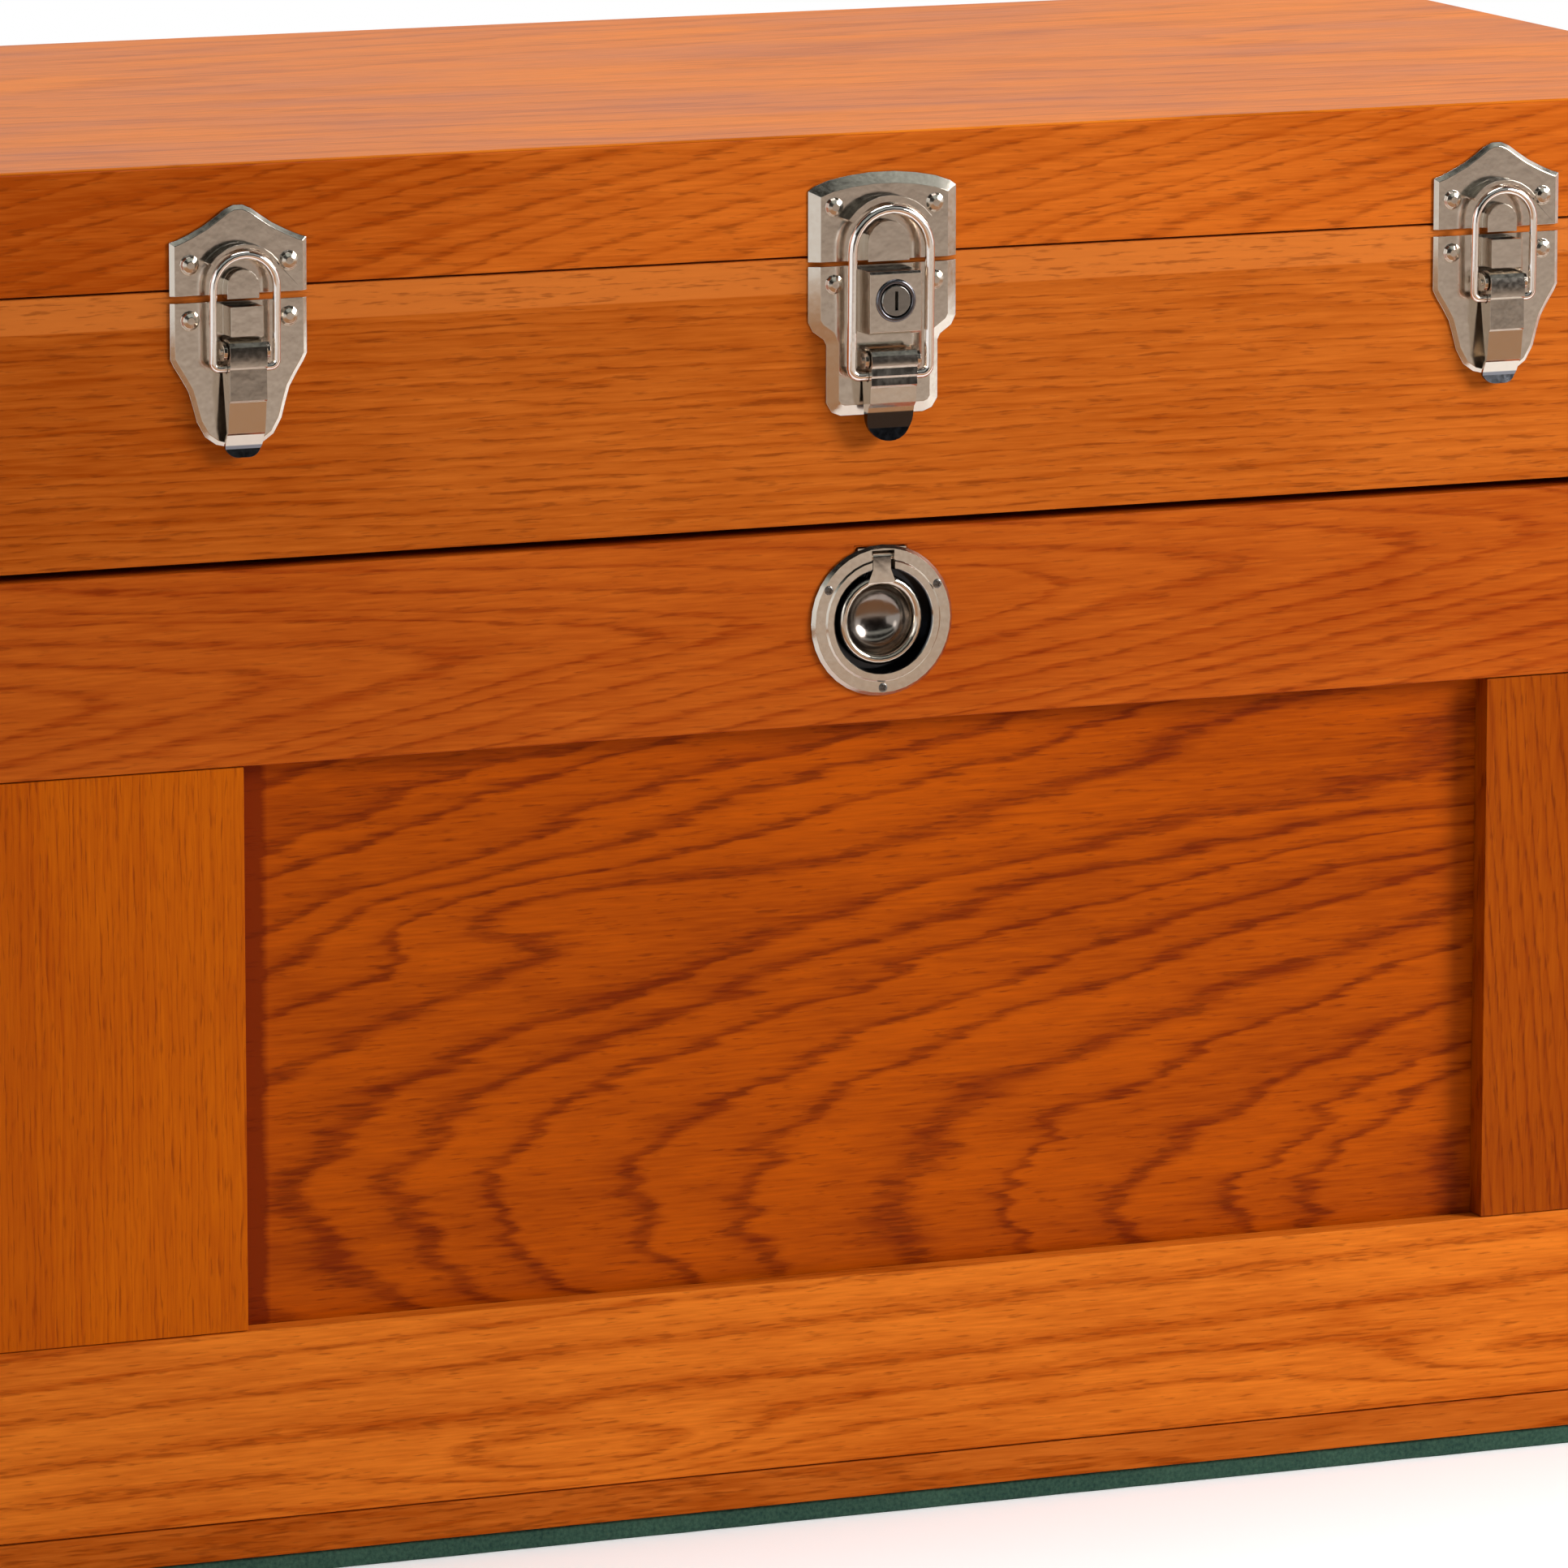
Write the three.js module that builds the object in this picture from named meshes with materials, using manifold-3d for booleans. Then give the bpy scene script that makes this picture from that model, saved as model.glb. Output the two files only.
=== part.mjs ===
// Oak carpenter's tool chest with a hinged lid, an inset front panel and three drawers.
// Millimetres, +Z up. X runs along the width, the front faces -Y, and the origin is
// the centre of the footprint on the floor.

import * as THREE from "three";
import { mergeVertices } from "three/addons/utils/BufferGeometryUtils.js";
import Module from "manifold-3d";

const wasm = await Module();
wasm.setup();

// Overall size
const chestWidth = 608;
const chestDepth = 312;
const feltThickness = 6;
const feltInset = 0.8;
const baseThickness = 10.6;
const frontPanelHeight = 273.9;
const panelTopGap = 2.4;
const apronHeight = 76.8;
const seamGap = 0.6;
const lidHeight = 34.7;

// Boards of the case and the lid
const sideThickness = 18;
const apronThickness = 14;
const backThickness = 12;
const frontPanelThickness = 16;
const panelRabbetDepth = 4;
const dividerThickness = 7;
const tillFloorThickness = 6;
const tillFloorLift = 3;
const housingDepth = 4;
const lidWall = 14;
const lidTopThickness = 8;
const fingerHeight = 15;
const lidFingerHeight = 12;
const lidArris = 1.2;

// Front panel frame
const stileWidth = 95.4;
const topRailHeight = 56.1;
const bottomRailHeight = 55.2;
const fieldThickness = 6;
const fieldRecess = 8;
const frameGroove = 7;

// Drawers, from the top down
const upperDrawerHeight = 48;
const middleDrawerHeight = 56;
const lowerDrawerHeight = 64;
const drawerRecess = 16;
const drawerFrontThickness = 12;
const drawerSideThickness = 9;
const drawerSideDrop = 4;
const drawerBottomThickness = 4;
const drawerBottomLift = 5;
const drawerGroove = 4;
const drawerBackGap = 6;
const drawerSideClearance = 0.8;
const drawerTopClearance = 0.8;
const knobInset = 104;

// Clearances
const glueGap = 0.25;
const runningGap = 0.3;
const seatGap = 0.3;
const overrun = 5;

// Latches: the inset is from the ends, and heights are measured from the top of the case
const latchInset = 109;
const sideLatch = {
  plateWidth: 40.5,
  plateThickness: 1.4,
  rimWidth: 1.3,
  rimDrop: 0.8,
  catchLow: -1.3,
  catchShoulder: 13.8,
  catchPeak: 23.6,
  baseTop: -3.2,
  baseShoulder: -19,
  baseFoot: -44.6,
  rivetSpacing: 29.2,
  rivetUp: 7.4,
  rivetDown: -8.2,
  rivetRadius: 2.8,
  rivetHeight: 1.3,
  wireRadius: 1.2,
  legSpacing: 18.8,
  archTop: 10.2,
  archStandoff: 6.4,
  bailPivot: -21.5,
  leverPivot: -16.8,
  pivotStandoff: 5.6,
  leverRound: 3.6,
  leverWidth: 11,
  leverTip: -47,
  leverCorner: 4,
  sheet: 1.1,
  pinRadius: 1,
  earRadius: 2.6,
  blockWidth: 9.6,
  blockTop: -4.1,
  blockBottom: -12.5,
  blockFace: 8,
  catchWidth: 9.5,
  catchFoot: -2.3,
  catchCrown: 6,
  catchFace: 4.9,
  hoodRadius: 12.4,
  hoodStandoff: 6.2,
};
const middleLatch = {
  plateWidth: 45.8,
  plateThickness: 2.2,
  rimWidth: 3.2,
  rimDrop: 1.8,
  catchLow: -1.1,
  catchShoulder: 19.2,
  catchPeak: 23.9,
  baseTop: -2.4,
  baseShoulder: -18.4,
  baseFoot: -45.8,
  rivetSpacing: 31.2,
  rivetUp: 14.6,
  rivetDown: -7.6,
  rivetRadius: 2.8,
  rivetHeight: 1.3,
  wireRadius: 1.5,
  legSpacing: 24,
  archTop: 13.9,
  archStandoff: 7.2,
  bailPivot: -33.8,
  leverPivot: -29.3,
  pivotStandoff: 6.4,
  leverRound: 3.8,
  leverWidth: 14.2,
  leverTip: -52.9,
  leverCorner: 6.9,
  sheet: 1.2,
  pinRadius: 1.1,
  earRadius: 2.6,
  blockWidth: 15.8,
  blockTop: -3.6,
  blockBottom: -21.6,
  blockFace: 10.4,
  blockChamfer: 0.7,
  catchWidth: 12.8,
  catchFoot: -1.2,
  catchCrown: 10.4,
  catchFace: 5.4,
  hoodRadius: 15.9,
  hoodStandoff: 6.6,
};

// Half the angle over which a latch's hood follows the bail
const hoodSpread = Math.PI * 0.3;

// Key cylinder in the middle latch
const plugRadius = 4.6;
const plugHeight = -12;
const plugLength = 7.4;
const plugProud = 0.7;
const keySlotWidth = 1;
const keySlotLength = 5.4;
const keySlotDepth = 3;

// Flush ring pull
const pullLift = 1.6;
const cupRadius = 22;
const cupFlange = 1.7;
const cupBevel = 1;
const collarRadius = 17.4;
const collarRise = 0.5;
const grooveRadius = 15.1;
const grooveDepth = 2.6;
const dishRadius = 10.2;
const dishDepth = 9;
const cupWall = 1.4;
const cupTaperShare = 0.7;
const ringRadius = 11.7;
const ringTube = 1.5;
const ringHinge = 18.2;
const ringSink = 0.6;
const shankWidth = 5.5;
const slotWidth = 7;
const slotTop = 20.4;
const ringPinRadius = 1.2;
const ringPinLength = 11.4;
const hingeBlockWidth = 15;

// Rear butt hinges
const hingeInset = 104;
const hingeLength = 52;
const hingeLeafWidth = 10;
const hingeLeafThickness = 1.6;
const knuckleRadius = 3.1;
const hingePinRadius = 1.3;
const hingePinHead = 2.2;
const hingePinHeadHeight = 1;
const knuckleCount = 5;

// Side handles
const handleDepth = 48;
const handlePlateLength = 98;
const handlePlateWidth = 26;
const handlePlateThickness = 1.8;
const handleEyeInset = 10;
const handleEyeRadius = 6;
const handleEyeWidth = 7;
const handleEyeStandoff = 8.5;
const handleRod = 3;
const handleDrop = 36;
const handleBend = 10;
const gripRadius = 4.8;
const gripShare = 0.59;
const gripNeckShare = 0.8;
const bendShare = 1.5;

// Knobs
const knobRadius = 7;
const knobLength = 14;

// Facets
const cupSides = 36;
const roundSides = 20;
const smallSides = 12;
const wireSides = 8;
const ringSteps = 32;
const arcSteps = 4;
const bendSteps = 4;
const archSteps = 16;
const dishSteps = 4;
const weld = 1e-4;

// Levels and faces that follow
const frontY = -chestDepth / 2;
const backY = chestDepth / 2;
const halfWidth = chestWidth / 2;
const baseTop = feltThickness + baseThickness;
const panelBottom = baseTop + runningGap;
const panelTop = panelBottom + frontPanelHeight;
const apronBottom = panelTop + panelTopGap;
const caseTop = apronBottom + apronHeight;
const lidBottom = caseTop + seamGap;
const lidTop = lidBottom + lidHeight;
const innerHalf = halfWidth - sideThickness;
const backInnerY = backY - backThickness;
const tillFloorBottom = apronBottom + tillFloorLift;
const panelHalf = innerHalf + panelRabbetDepth - runningGap;
const drawerFrontY = frontY + frontPanelThickness + drawerRecess;
const hingeY = backY + knuckleRadius + seatGap;
const hingeZ = caseTop + seamGap / 2;

const colours = {
  oak: 0xc4661f,
  oakPanel: 0xb4531a,
  oakInside: 0xcf8a4a,
  felt: 0x1f5a50,
  nickel: 0xc9c4bc,
  steel: 0x9a9a98,
};
const finish = {
  oak: new THREE.MeshStandardMaterial({ color: colours.oak, roughness: 0.4, metalness: 0 }),
  oakPanel: new THREE.MeshStandardMaterial({ color: colours.oakPanel, roughness: 0.4, metalness: 0 }),
  oakInside: new THREE.MeshStandardMaterial({ color: colours.oakInside, roughness: 0.55, metalness: 0 }),
  felt: new THREE.MeshStandardMaterial({ color: colours.felt, roughness: 1, metalness: 0 }),
  nickel: new THREE.MeshStandardMaterial({ color: colours.nickel, roughness: 0.2, metalness: 1 }),
  steel: new THREE.MeshStandardMaterial({ color: colours.steel, roughness: 0.35, metalness: 1 }),
};

// A closed three.js geometry as a solid that can be joined and cut
function solid(geometry) {
  geometry.deleteAttribute("normal");
  geometry.deleteAttribute("uv");
  const merged = mergeVertices(geometry, weld);
  return new wasm.Manifold(new wasm.Mesh({
    numProp: 3,
    vertProperties: new Float32Array(merged.attributes.position.array),
    triVerts: new Uint32Array(merged.index.array),
  }));
}

// A finished piece: the solid's triangles under its own name
function piece(name, body, material) {
  const mesh = body.getMesh();
  const geometry = new THREE.BufferGeometry();
  geometry.setAttribute("position", new THREE.BufferAttribute(new Float32Array(mesh.vertProperties), 3));
  geometry.setIndex(new THREE.BufferAttribute(new Uint32Array(mesh.triVerts), 1));
  geometry.computeVertexNormals();
  const node = new THREE.Mesh(geometry, material);
  node.name = name;
  return node;
}

function cut(body, cutters) {
  return cutters.reduce((rest, cutter) => rest.subtract(cutter), body);
}

function join(bodies) {
  return bodies.reduce((sum, body) => sum.add(body));
}

// A board between two faces on each axis, given in either order
function slab(xs, ys, zs) {
  const spans = [xs, ys, zs].map((pair) => [Math.min(...pair), Math.max(...pair)]);
  const geometry = new THREE.BoxGeometry(...spans.map(([low, high]) => high - low));
  geometry.translate(...spans.map(([low, high]) => (low + high) / 2));
  return solid(geometry);
}

// Hardware on a front face is drawn in a local frame: x across, z up, standoff towards -Y
function frontExtrude(shape, from, to, options = {}) {
  const geometry = new THREE.ExtrudeGeometry(shape, {
    depth: to - from,
    bevelEnabled: false,
    curveSegments: arcSteps,
    ...options,
  });
  geometry.rotateX(Math.PI / 2);
  geometry.translate(0, -from, 0);
  return solid(geometry);
}

// A side profile of (standoff, height) points, as wide as stated and centred on x = middle
function sideExtrude(shape, width, middle = 0) {
  const geometry = new THREE.ExtrudeGeometry(shape, {
    depth: width,
    bevelEnabled: false,
    curveSegments: arcSteps,
  });
  const turn = new THREE.Matrix4().makeBasis(
    new THREE.Vector3(0, -1, 0),
    new THREE.Vector3(0, 0, 1),
    new THREE.Vector3(-1, 0, 0),
  );
  geometry.applyMatrix4(turn);
  geometry.translate(middle + width / 2, 0, 0);
  return solid(geometry);
}

// A round bar along x, at a standoff and height
function crossBar(radius, length, standoff, height, sides = smallSides, middle = 0) {
  const geometry = new THREE.CylinderGeometry(radius, radius, length, sides);
  geometry.rotateZ(Math.PI / 2);
  geometry.translate(middle, -standoff, height);
  return solid(geometry);
}

// A turned piece whose axis points out of the front face: points are (radius, standoff)
function frontLathe(points, sides, x = 0, z = 0) {
  const profile = points.map(([radius, standoff]) => new THREE.Vector2(radius, standoff));
  const geometry = new THREE.LatheGeometry(profile, sides);
  geometry.rotateX(Math.PI);
  geometry.translate(x, 0, z);
  return solid(geometry);
}

function outline(points) {
  return new THREE.Shape(points.map(([x, y]) => new THREE.Vector2(x, y)));
}

// A wire path whose sample points are the ones given, so that straight legs take one step
class WirePath extends THREE.Curve {
  constructor(points) {
    super();
    this.points = points;
  }

  getPoint(t, target = new THREE.Vector3()) {
    const along = t * (this.points.length - 1);
    const index = Math.min(Math.floor(along), this.points.length - 2);
    return target.lerpVectors(this.points[index], this.points[index + 1], along - index);
  }

  getUtoTmapping(u) {
    return u;
  }
}

function wire(points, radius, sides) {
  const section = new THREE.Shape();
  section.absarc(0, 0, radius, 0, 2 * Math.PI);
  const geometry = new THREE.ExtrudeGeometry(section, {
    steps: points.length - 1,
    extrudePath: new WirePath(points),
    bevelEnabled: false,
    curveSegments: sides / 2,
  });
  return solid(geometry);
}

// Points of an arc in a plane spanned by two unit vectors
function arcPoints(centre, radius, from, to, steps, across, up) {
  const points = [];
  for (let step = 0; step <= steps; step += 1) {
    const angle = from + ((to - from) * step) / steps;
    points.push(centre.clone()
      .addScaledVector(across, radius * Math.cos(angle))
      .addScaledVector(up, radius * Math.sin(angle)));
  }
  return points;
}

// Every second finger of a box joint between two heights, counted from the first one given
function fingers(low, high, target, first) {
  const count = 2 * Math.floor((high - low) / target / 2) + 1;
  const pitch = (high - low) / count;
  const spans = [];
  for (let index = first; index < count; index += 2) {
    spans.push([low + index * pitch - glueGap, low + (index + 1) * pitch + glueGap]);
  }
  return spans;
}

// Case

// The drawers stand in a stack below the apron. What is left below them is the well.
const drawers = [];
let ceiling = apronBottom;
[["upper", upperDrawerHeight], ["middle", middleDrawerHeight], ["lower", lowerDrawerHeight]]
  .forEach(([name, height]) => {
    const bottom = ceiling - drawerTopClearance - height;
    const shelf = bottom - runningGap - dividerThickness;
    drawers.push({ name, height, bottom, shelf });
    ceiling = shelf;
  });

function feltPad() {
  const x = halfWidth - feltInset;
  const y = backY - feltInset;
  return slab([-x, x], [-y, y], [0, feltThickness - glueGap]);
}

function bottomBoard() {
  return slab([-halfWidth, halfWidth], [frontY, backY], [feltThickness, baseTop]);
}

function sideBoard(sign) {
  const outer = sign * halfWidth;
  const inner = sign * innerHalf;
  const pastInner = sign * (innerHalf - overrun);
  const pastOuter = sign * (halfWidth + overrun);
  const across = [pastInner, pastOuter];
  const low = baseTop + glueGap;
  const rabbet = slab(
    [pastInner, inner + sign * panelRabbetDepth],
    [frontY - overrun, frontY + frontPanelThickness + runningGap],
    [baseTop, apronBottom],
  );
  const frontFingers = fingers(apronBottom, caseTop, fingerHeight, 0).map((span) => slab(
    across, [frontY - overrun, frontY + apronThickness + glueGap], span));
  const backFingers = fingers(low, caseTop, fingerHeight, 0).map((span) => slab(
    across, [backInnerY - glueGap, backY + overrun], span));
  const housings = drawers.map(({ shelf }) => slab(
    [pastInner, inner + sign * housingDepth],
    [drawerFrontY - glueGap, backInnerY],
    [shelf - glueGap, shelf + dividerThickness + glueGap],
  ));
  const tillGroove = slab(
    [pastInner, inner + sign * housingDepth],
    [frontY + apronThickness - housingDepth, backInnerY + housingDepth],
    [tillFloorBottom - glueGap, tillFloorBottom + tillFloorThickness + glueGap],
  );
  const board = slab([inner, outer], [frontY, backY], [low, caseTop]);
  return cut(board, [rabbet, ...frontFingers, ...backFingers, ...housings, tillGroove]);
}

function apronBoard() {
  const board = slab([-halfWidth, halfWidth], [frontY, frontY + apronThickness], [apronBottom, caseTop]);
  const y = [frontY - overrun, frontY + apronThickness + overrun];
  const cuts = fingers(apronBottom, caseTop, fingerHeight, 1).flatMap((span) => [-1, 1].map((sign) => slab(
    [sign * (innerHalf - glueGap), sign * (halfWidth + overrun)], y, span)));
  const tillGroove = slab(
    [-innerHalf - housingDepth, innerHalf + housingDepth],
    [frontY + apronThickness - housingDepth, frontY + apronThickness + overrun],
    [tillFloorBottom - glueGap, tillFloorBottom + tillFloorThickness + glueGap],
  );
  return cut(board, [...cuts, tillGroove]);
}

function backBoard() {
  const low = baseTop + glueGap;
  const board = slab([-halfWidth, halfWidth], [backInnerY, backY], [low, caseTop]);
  const y = [backInnerY - overrun, backY + overrun];
  const cuts = fingers(low, caseTop, fingerHeight, 1).flatMap((span) => [-1, 1].map((sign) => slab(
    [sign * (innerHalf - glueGap), sign * (halfWidth + overrun)], y, span)));
  const tillGroove = slab(
    [-innerHalf - housingDepth, innerHalf + housingDepth],
    [backInnerY - overrun, backInnerY + housingDepth],
    [tillFloorBottom - glueGap, tillFloorBottom + tillFloorThickness + glueGap],
  );
  return cut(board, [...cuts, tillGroove, ...hingeMortises(caseTop, -1)]);
}

function divider(shelf) {
  const x = innerHalf + housingDepth - glueGap;
  return slab([-x, x], [drawerFrontY, backInnerY - glueGap], [shelf, shelf + dividerThickness]);
}

function tillFloor() {
  const x = innerHalf + housingDepth - glueGap;
  return slab(
    [-x, x],
    [frontY + apronThickness - housingDepth + glueGap, backInnerY + housingDepth - glueGap],
    [tillFloorBottom, tillFloorBottom + tillFloorThickness],
  );
}

// Lid

// The top board has mitred edges: its top face is the full size of the lid
function mitredTop(grow) {
  const reach = lidTopThickness + grow;
  const wedge = (half) => outline([
    [-half - grow, lidTop + grow],
    [-half + reach - grow, lidTop - reach],
    [half - reach + grow, lidTop - reach],
    [half + grow, lidTop + grow],
  ]);
  const alongY = frontExtrude(wedge(halfWidth), -backY - overrun, -frontY + overrun);
  const alongX = sideExtrude(wedge(backY), chestWidth + 2 * overrun);
  const thick = slab([-chestWidth, chestWidth], [-chestDepth, chestDepth], [lidTop - reach, lidTop + grow]);
  return alongY.intersect(alongX).intersect(thick);
}

// Everything below the chamfer that runs round the lid's top edges
function belowArris() {
  const reach = lidArris + overrun;
  const section = (half) => outline(mirrored([
    [half + overrun, lidBottom - overrun],
    [half + overrun, lidTop - reach],
    [half - reach, lidTop + overrun],
  ]));
  return frontExtrude(section(halfWidth), -backY - 2 * overrun, -frontY + 2 * overrun)
    .intersect(sideExtrude(section(backY), chestWidth + 4 * overrun));
}

function lidTopBoard() {
  const top = slab([-chestWidth, chestWidth], [-chestDepth, chestDepth], [lidBottom, lidTop]);
  return mitredTop(0).intersect(top).intersect(belowArris());
}

const lidFingerTop = lidTop - lidTopThickness;

function lidLong(sign) {
  const y = sign * backY;
  const thick = [y + sign * overrun, y - sign * (lidWall + overrun)];
  const board = slab([-halfWidth, halfWidth], [y, y - sign * lidWall], [lidBottom, lidTop]);
  const spans = fingers(lidBottom, lidFingerTop, lidFingerHeight, 1);
  const cuts = spans.flatMap((span) => [-1, 1].map((end) => slab(
    [end * (halfWidth - lidWall - glueGap), end * (halfWidth + overrun)], thick, span)));
  const mortises = sign > 0 ? hingeMortises(lidBottom, 1) : [];
  return cut(board, [...cuts, mitredTop(glueGap), ...mortises]).intersect(belowArris());
}

function lidShort(sign) {
  const x = sign * halfWidth;
  const thick = [x + sign * overrun, x - sign * (lidWall + overrun)];
  const board = slab([x, x - sign * lidWall], [frontY, backY], [lidBottom, lidTop]);
  const spans = [...fingers(lidBottom, lidFingerTop, lidFingerHeight, 0), [lidFingerTop, lidTop + overrun]];
  const cuts = spans.flatMap((span) => [-1, 1].map((end) => slab(
    thick, [end * (backY - lidWall - glueGap), end * (backY + overrun)], span)));
  return cut(board, [...cuts, mitredTop(glueGap)]).intersect(belowArris());
}

// Rear hinges

const hingeCentres = [hingeInset - halfWidth, halfWidth - hingeInset];

function hingeMortises(face, up) {
  return hingeCentres.map((x) => slab(
    [x - hingeLength / 2 - glueGap, x + hingeLength / 2 + glueGap],
    [backY - hingeLeafWidth - glueGap, backY + overrun],
    [face - up * overrun, face + up * (hingeLeafThickness + glueGap)],
  ));
}

// A leaf with every second knuckle, counted from the first one given. Local y = 0 is the pin.
function hingeLeaf(face, up, first) {
  const pitch = hingeLength / knuckleCount;
  const z = [face - hingeZ, face - hingeZ + up * hingeLeafThickness];
  const edge = backY - hingeY;
  const leaf = [slab([-hingeLength / 2, hingeLength / 2], [edge - hingeLeafWidth, edge], z)];
  for (let index = first; index < knuckleCount; index += 2) {
    const low = -hingeLength / 2 + index * pitch + (index > 0 ? runningGap / 2 : 0);
    const high = -hingeLength / 2 + (index + 1) * pitch - (index < knuckleCount - 1 ? runningGap / 2 : 0);
    leaf.push(slab([low, high], [edge - hingeLeafThickness, 0], z));
    leaf.push(crossBar(knuckleRadius, high - low, 0, 0, roundSides, (low + high) / 2));
  }
  const bore = crossBar(hingePinRadius + runningGap, hingeLength + 2 * overrun, 0, 0);
  return cut(join(leaf), [bore]);
}

function hingePin() {
  const head = hingePinHeadHeight;
  const x = hingeLength / 2 + seatGap + head / 2;
  return join([
    crossBar(hingePinRadius, hingeLength + 2 * seatGap + head, 0, 0),
    crossBar(hingePinHead, head, 0, 0, smallSides, -x),
    crossBar(hingePinHead, head, 0, 0, smallSides, x),
  ]);
}

// Latches

function mirrored(points) {
  return [...points, ...points.slice().reverse().map(([x, y]) => [-x, y])];
}

// Half outlines as shares of the half width and of the height from shoulder to end
const catchTopShares = [[1, 0], [0.9, 0.06], [0.72, 0.22], [0.5, 0.45], [0.32, 0.7], [0.2, 0.88], [0.07, 1]];
const archTopShares = [[1, 0], [0.92, 0.28], [0.72, 0.62], [0.45, 0.86], [0.16, 1]];
const footShares = [[1, 0], [0.95, 0.08], [0.84, 0.22], [0.74, 0.36], [0.68, 0.52], [0.62, 0.7],
  [0.5, 0.87], [0.34, 0.96], [0.12, 1]];
const rivetDomeShares = [[1, 0], [0.8, 0.65], [0.4, 1], [0, 1]];
const steppedFootShares = [[1, 0], [0.94, 0.1], [0.79, 0.19], [0.755, 0.25], [0.755, 0.86],
  [0.68, 0.96], [0.56, 1]];

function plateShape(latch, straightEnd, shoulder, end, shares) {
  const half = latch.plateWidth / 2;
  const edge = shares.map(([across, along]) => [across * half, shoulder + along * (end - shoulder)]);
  return outline(mirrored([[half, straightEnd], ...edge]));
}

// A stamped plate whose rim slopes down to the board, apart from its straight end
function stampedPlate(latch, straightEnd, shoulder, end, shares) {
  const flat = latch.plateThickness - latch.rimDrop;
  const inward = Math.sign(end - straightEnd);
  const shape = plateShape(latch, straightEnd - inward * overrun, shoulder, end, shares);
  const sloped = frontExtrude(shape, 0, flat, {
    bevelEnabled: true,
    bevelThickness: latch.rimDrop,
    bevelSize: latch.rimWidth,
    bevelOffset: -latch.rimWidth,
    bevelSegments: 1,
  });
  const room = chestDepth;
  return sloped.intersect(slab([-room, room], [-seatGap, -room], [straightEnd, inward * room]));
}

function rivets(latch, height) {
  const base = latch.plateThickness / 2;
  const dome = rivetDomeShares.map(([out, rise]) => [
    latch.rivetRadius * out, latch.plateThickness + latch.rivetHeight * rise]);
  dome.unshift([0, base], [latch.rivetRadius, base]);
  return [-1, 1].map((sign) => frontLathe(dome, smallSides, (sign * latch.rivetSpacing) / 2, height));
}

// The catch on the lid: its tongue stands inside the bail and its hood stands over it
function catchPlate(latch, topShares) {
  const plate = stampedPlate(latch, latch.catchLow, latch.catchShoulder, latch.catchPeak, topShares);
  const half = latch.catchWidth / 2;
  const tongue = new THREE.Shape();
  tongue.moveTo(-half, latch.catchFoot);
  tongue.lineTo(half, latch.catchFoot);
  tongue.lineTo(half, latch.catchCrown - half);
  tongue.absarc(0, latch.catchCrown - half, half, 0, Math.PI);
  const from = latch.plateThickness / 2;
  const archCentre = latch.archTop - latch.legSpacing / 2;
  const inner = latch.legSpacing / 2 + latch.wireRadius + 2 * seatGap;
  const hood = new THREE.Shape();
  hood.absarc(0, archCentre, latch.hoodRadius, Math.PI / 2 - hoodSpread, Math.PI / 2 + hoodSpread);
  hood.absarc(0, archCentre, inner, Math.PI / 2 + hoodSpread, Math.PI / 2 - hoodSpread, true);
  return join([
    plate,
    frontExtrude(tongue, from, latch.catchFace),
    frontExtrude(hood, from, latch.hoodStandoff),
    ...rivets(latch, latch.rivetUp),
  ]);
}

// The plate on the case carries the ears, the lever's pin and the block above the lever
function basePlate(latch, shares, block) {
  const plate = stampedPlate(latch, latch.baseTop, latch.baseShoulder, latch.baseFoot, shares);
  const earInner = latch.leverWidth / 2 + seatGap;
  const from = latch.plateThickness / 2;
  const arm = outline([
    [from, latch.leverPivot - latch.earRadius],
    [latch.pivotStandoff, latch.leverPivot - latch.earRadius],
    [latch.pivotStandoff, latch.leverPivot + latch.earRadius],
    [from, latch.leverPivot + latch.earRadius],
  ]);
  const ears = [-1, 1].flatMap((sign) => {
    const middle = sign * (earInner + latch.sheet / 2);
    return [
      sideExtrude(arm, latch.sheet, middle),
      crossBar(latch.earRadius, latch.sheet, latch.pivotStandoff, latch.leverPivot, smallSides, middle),
    ];
  });
  const pin = crossBar(
    latch.pinRadius, 2 * (earInner + latch.sheet) + latch.pinRadius, latch.pivotStandoff, latch.leverPivot);
  return join([plate, ...ears, pin, block, ...rivets(latch, latch.rivetDown)]);
}

// A folded bridge, open above and below
function bridgeBlock(latch) {
  const half = latch.blockWidth / 2;
  const inner = half - latch.sheet;
  const from = -latch.plateThickness / 2;
  const z = [latch.blockBottom, latch.blockTop];
  const past = [latch.blockBottom - overrun, latch.blockTop + overrun];
  const outer = slab([-half, half], [from, -latch.blockFace], z);
  return outer.subtract(slab([-inner, inner], [from - latch.sheet, latch.sheet - latch.blockFace], past));
}

// The cast lock case, bored for the key cylinder
function lockBlock(latch) {
  const half = latch.blockWidth / 2;
  const chamfer = latch.blockChamfer;
  const block = outline([
    [latch.plateThickness / 2, latch.blockBottom],
    [latch.blockFace - chamfer, latch.blockBottom],
    [latch.blockFace, latch.blockBottom + chamfer],
    [latch.blockFace, latch.blockTop - chamfer],
    [latch.blockFace - chamfer, latch.blockTop],
    [latch.plateThickness / 2, latch.blockTop],
  ]);
  const bore = plugRadius + runningGap;
  const floor = latch.blockFace - plugLength - runningGap;
  const drill = frontLathe(
    [[0, floor], [bore, floor], [bore, latch.blockFace + overrun], [0, latch.blockFace + overrun]],
    roundSides, 0, plugHeight);
  return sideExtrude(block, 2 * half).subtract(drill);
}

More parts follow.
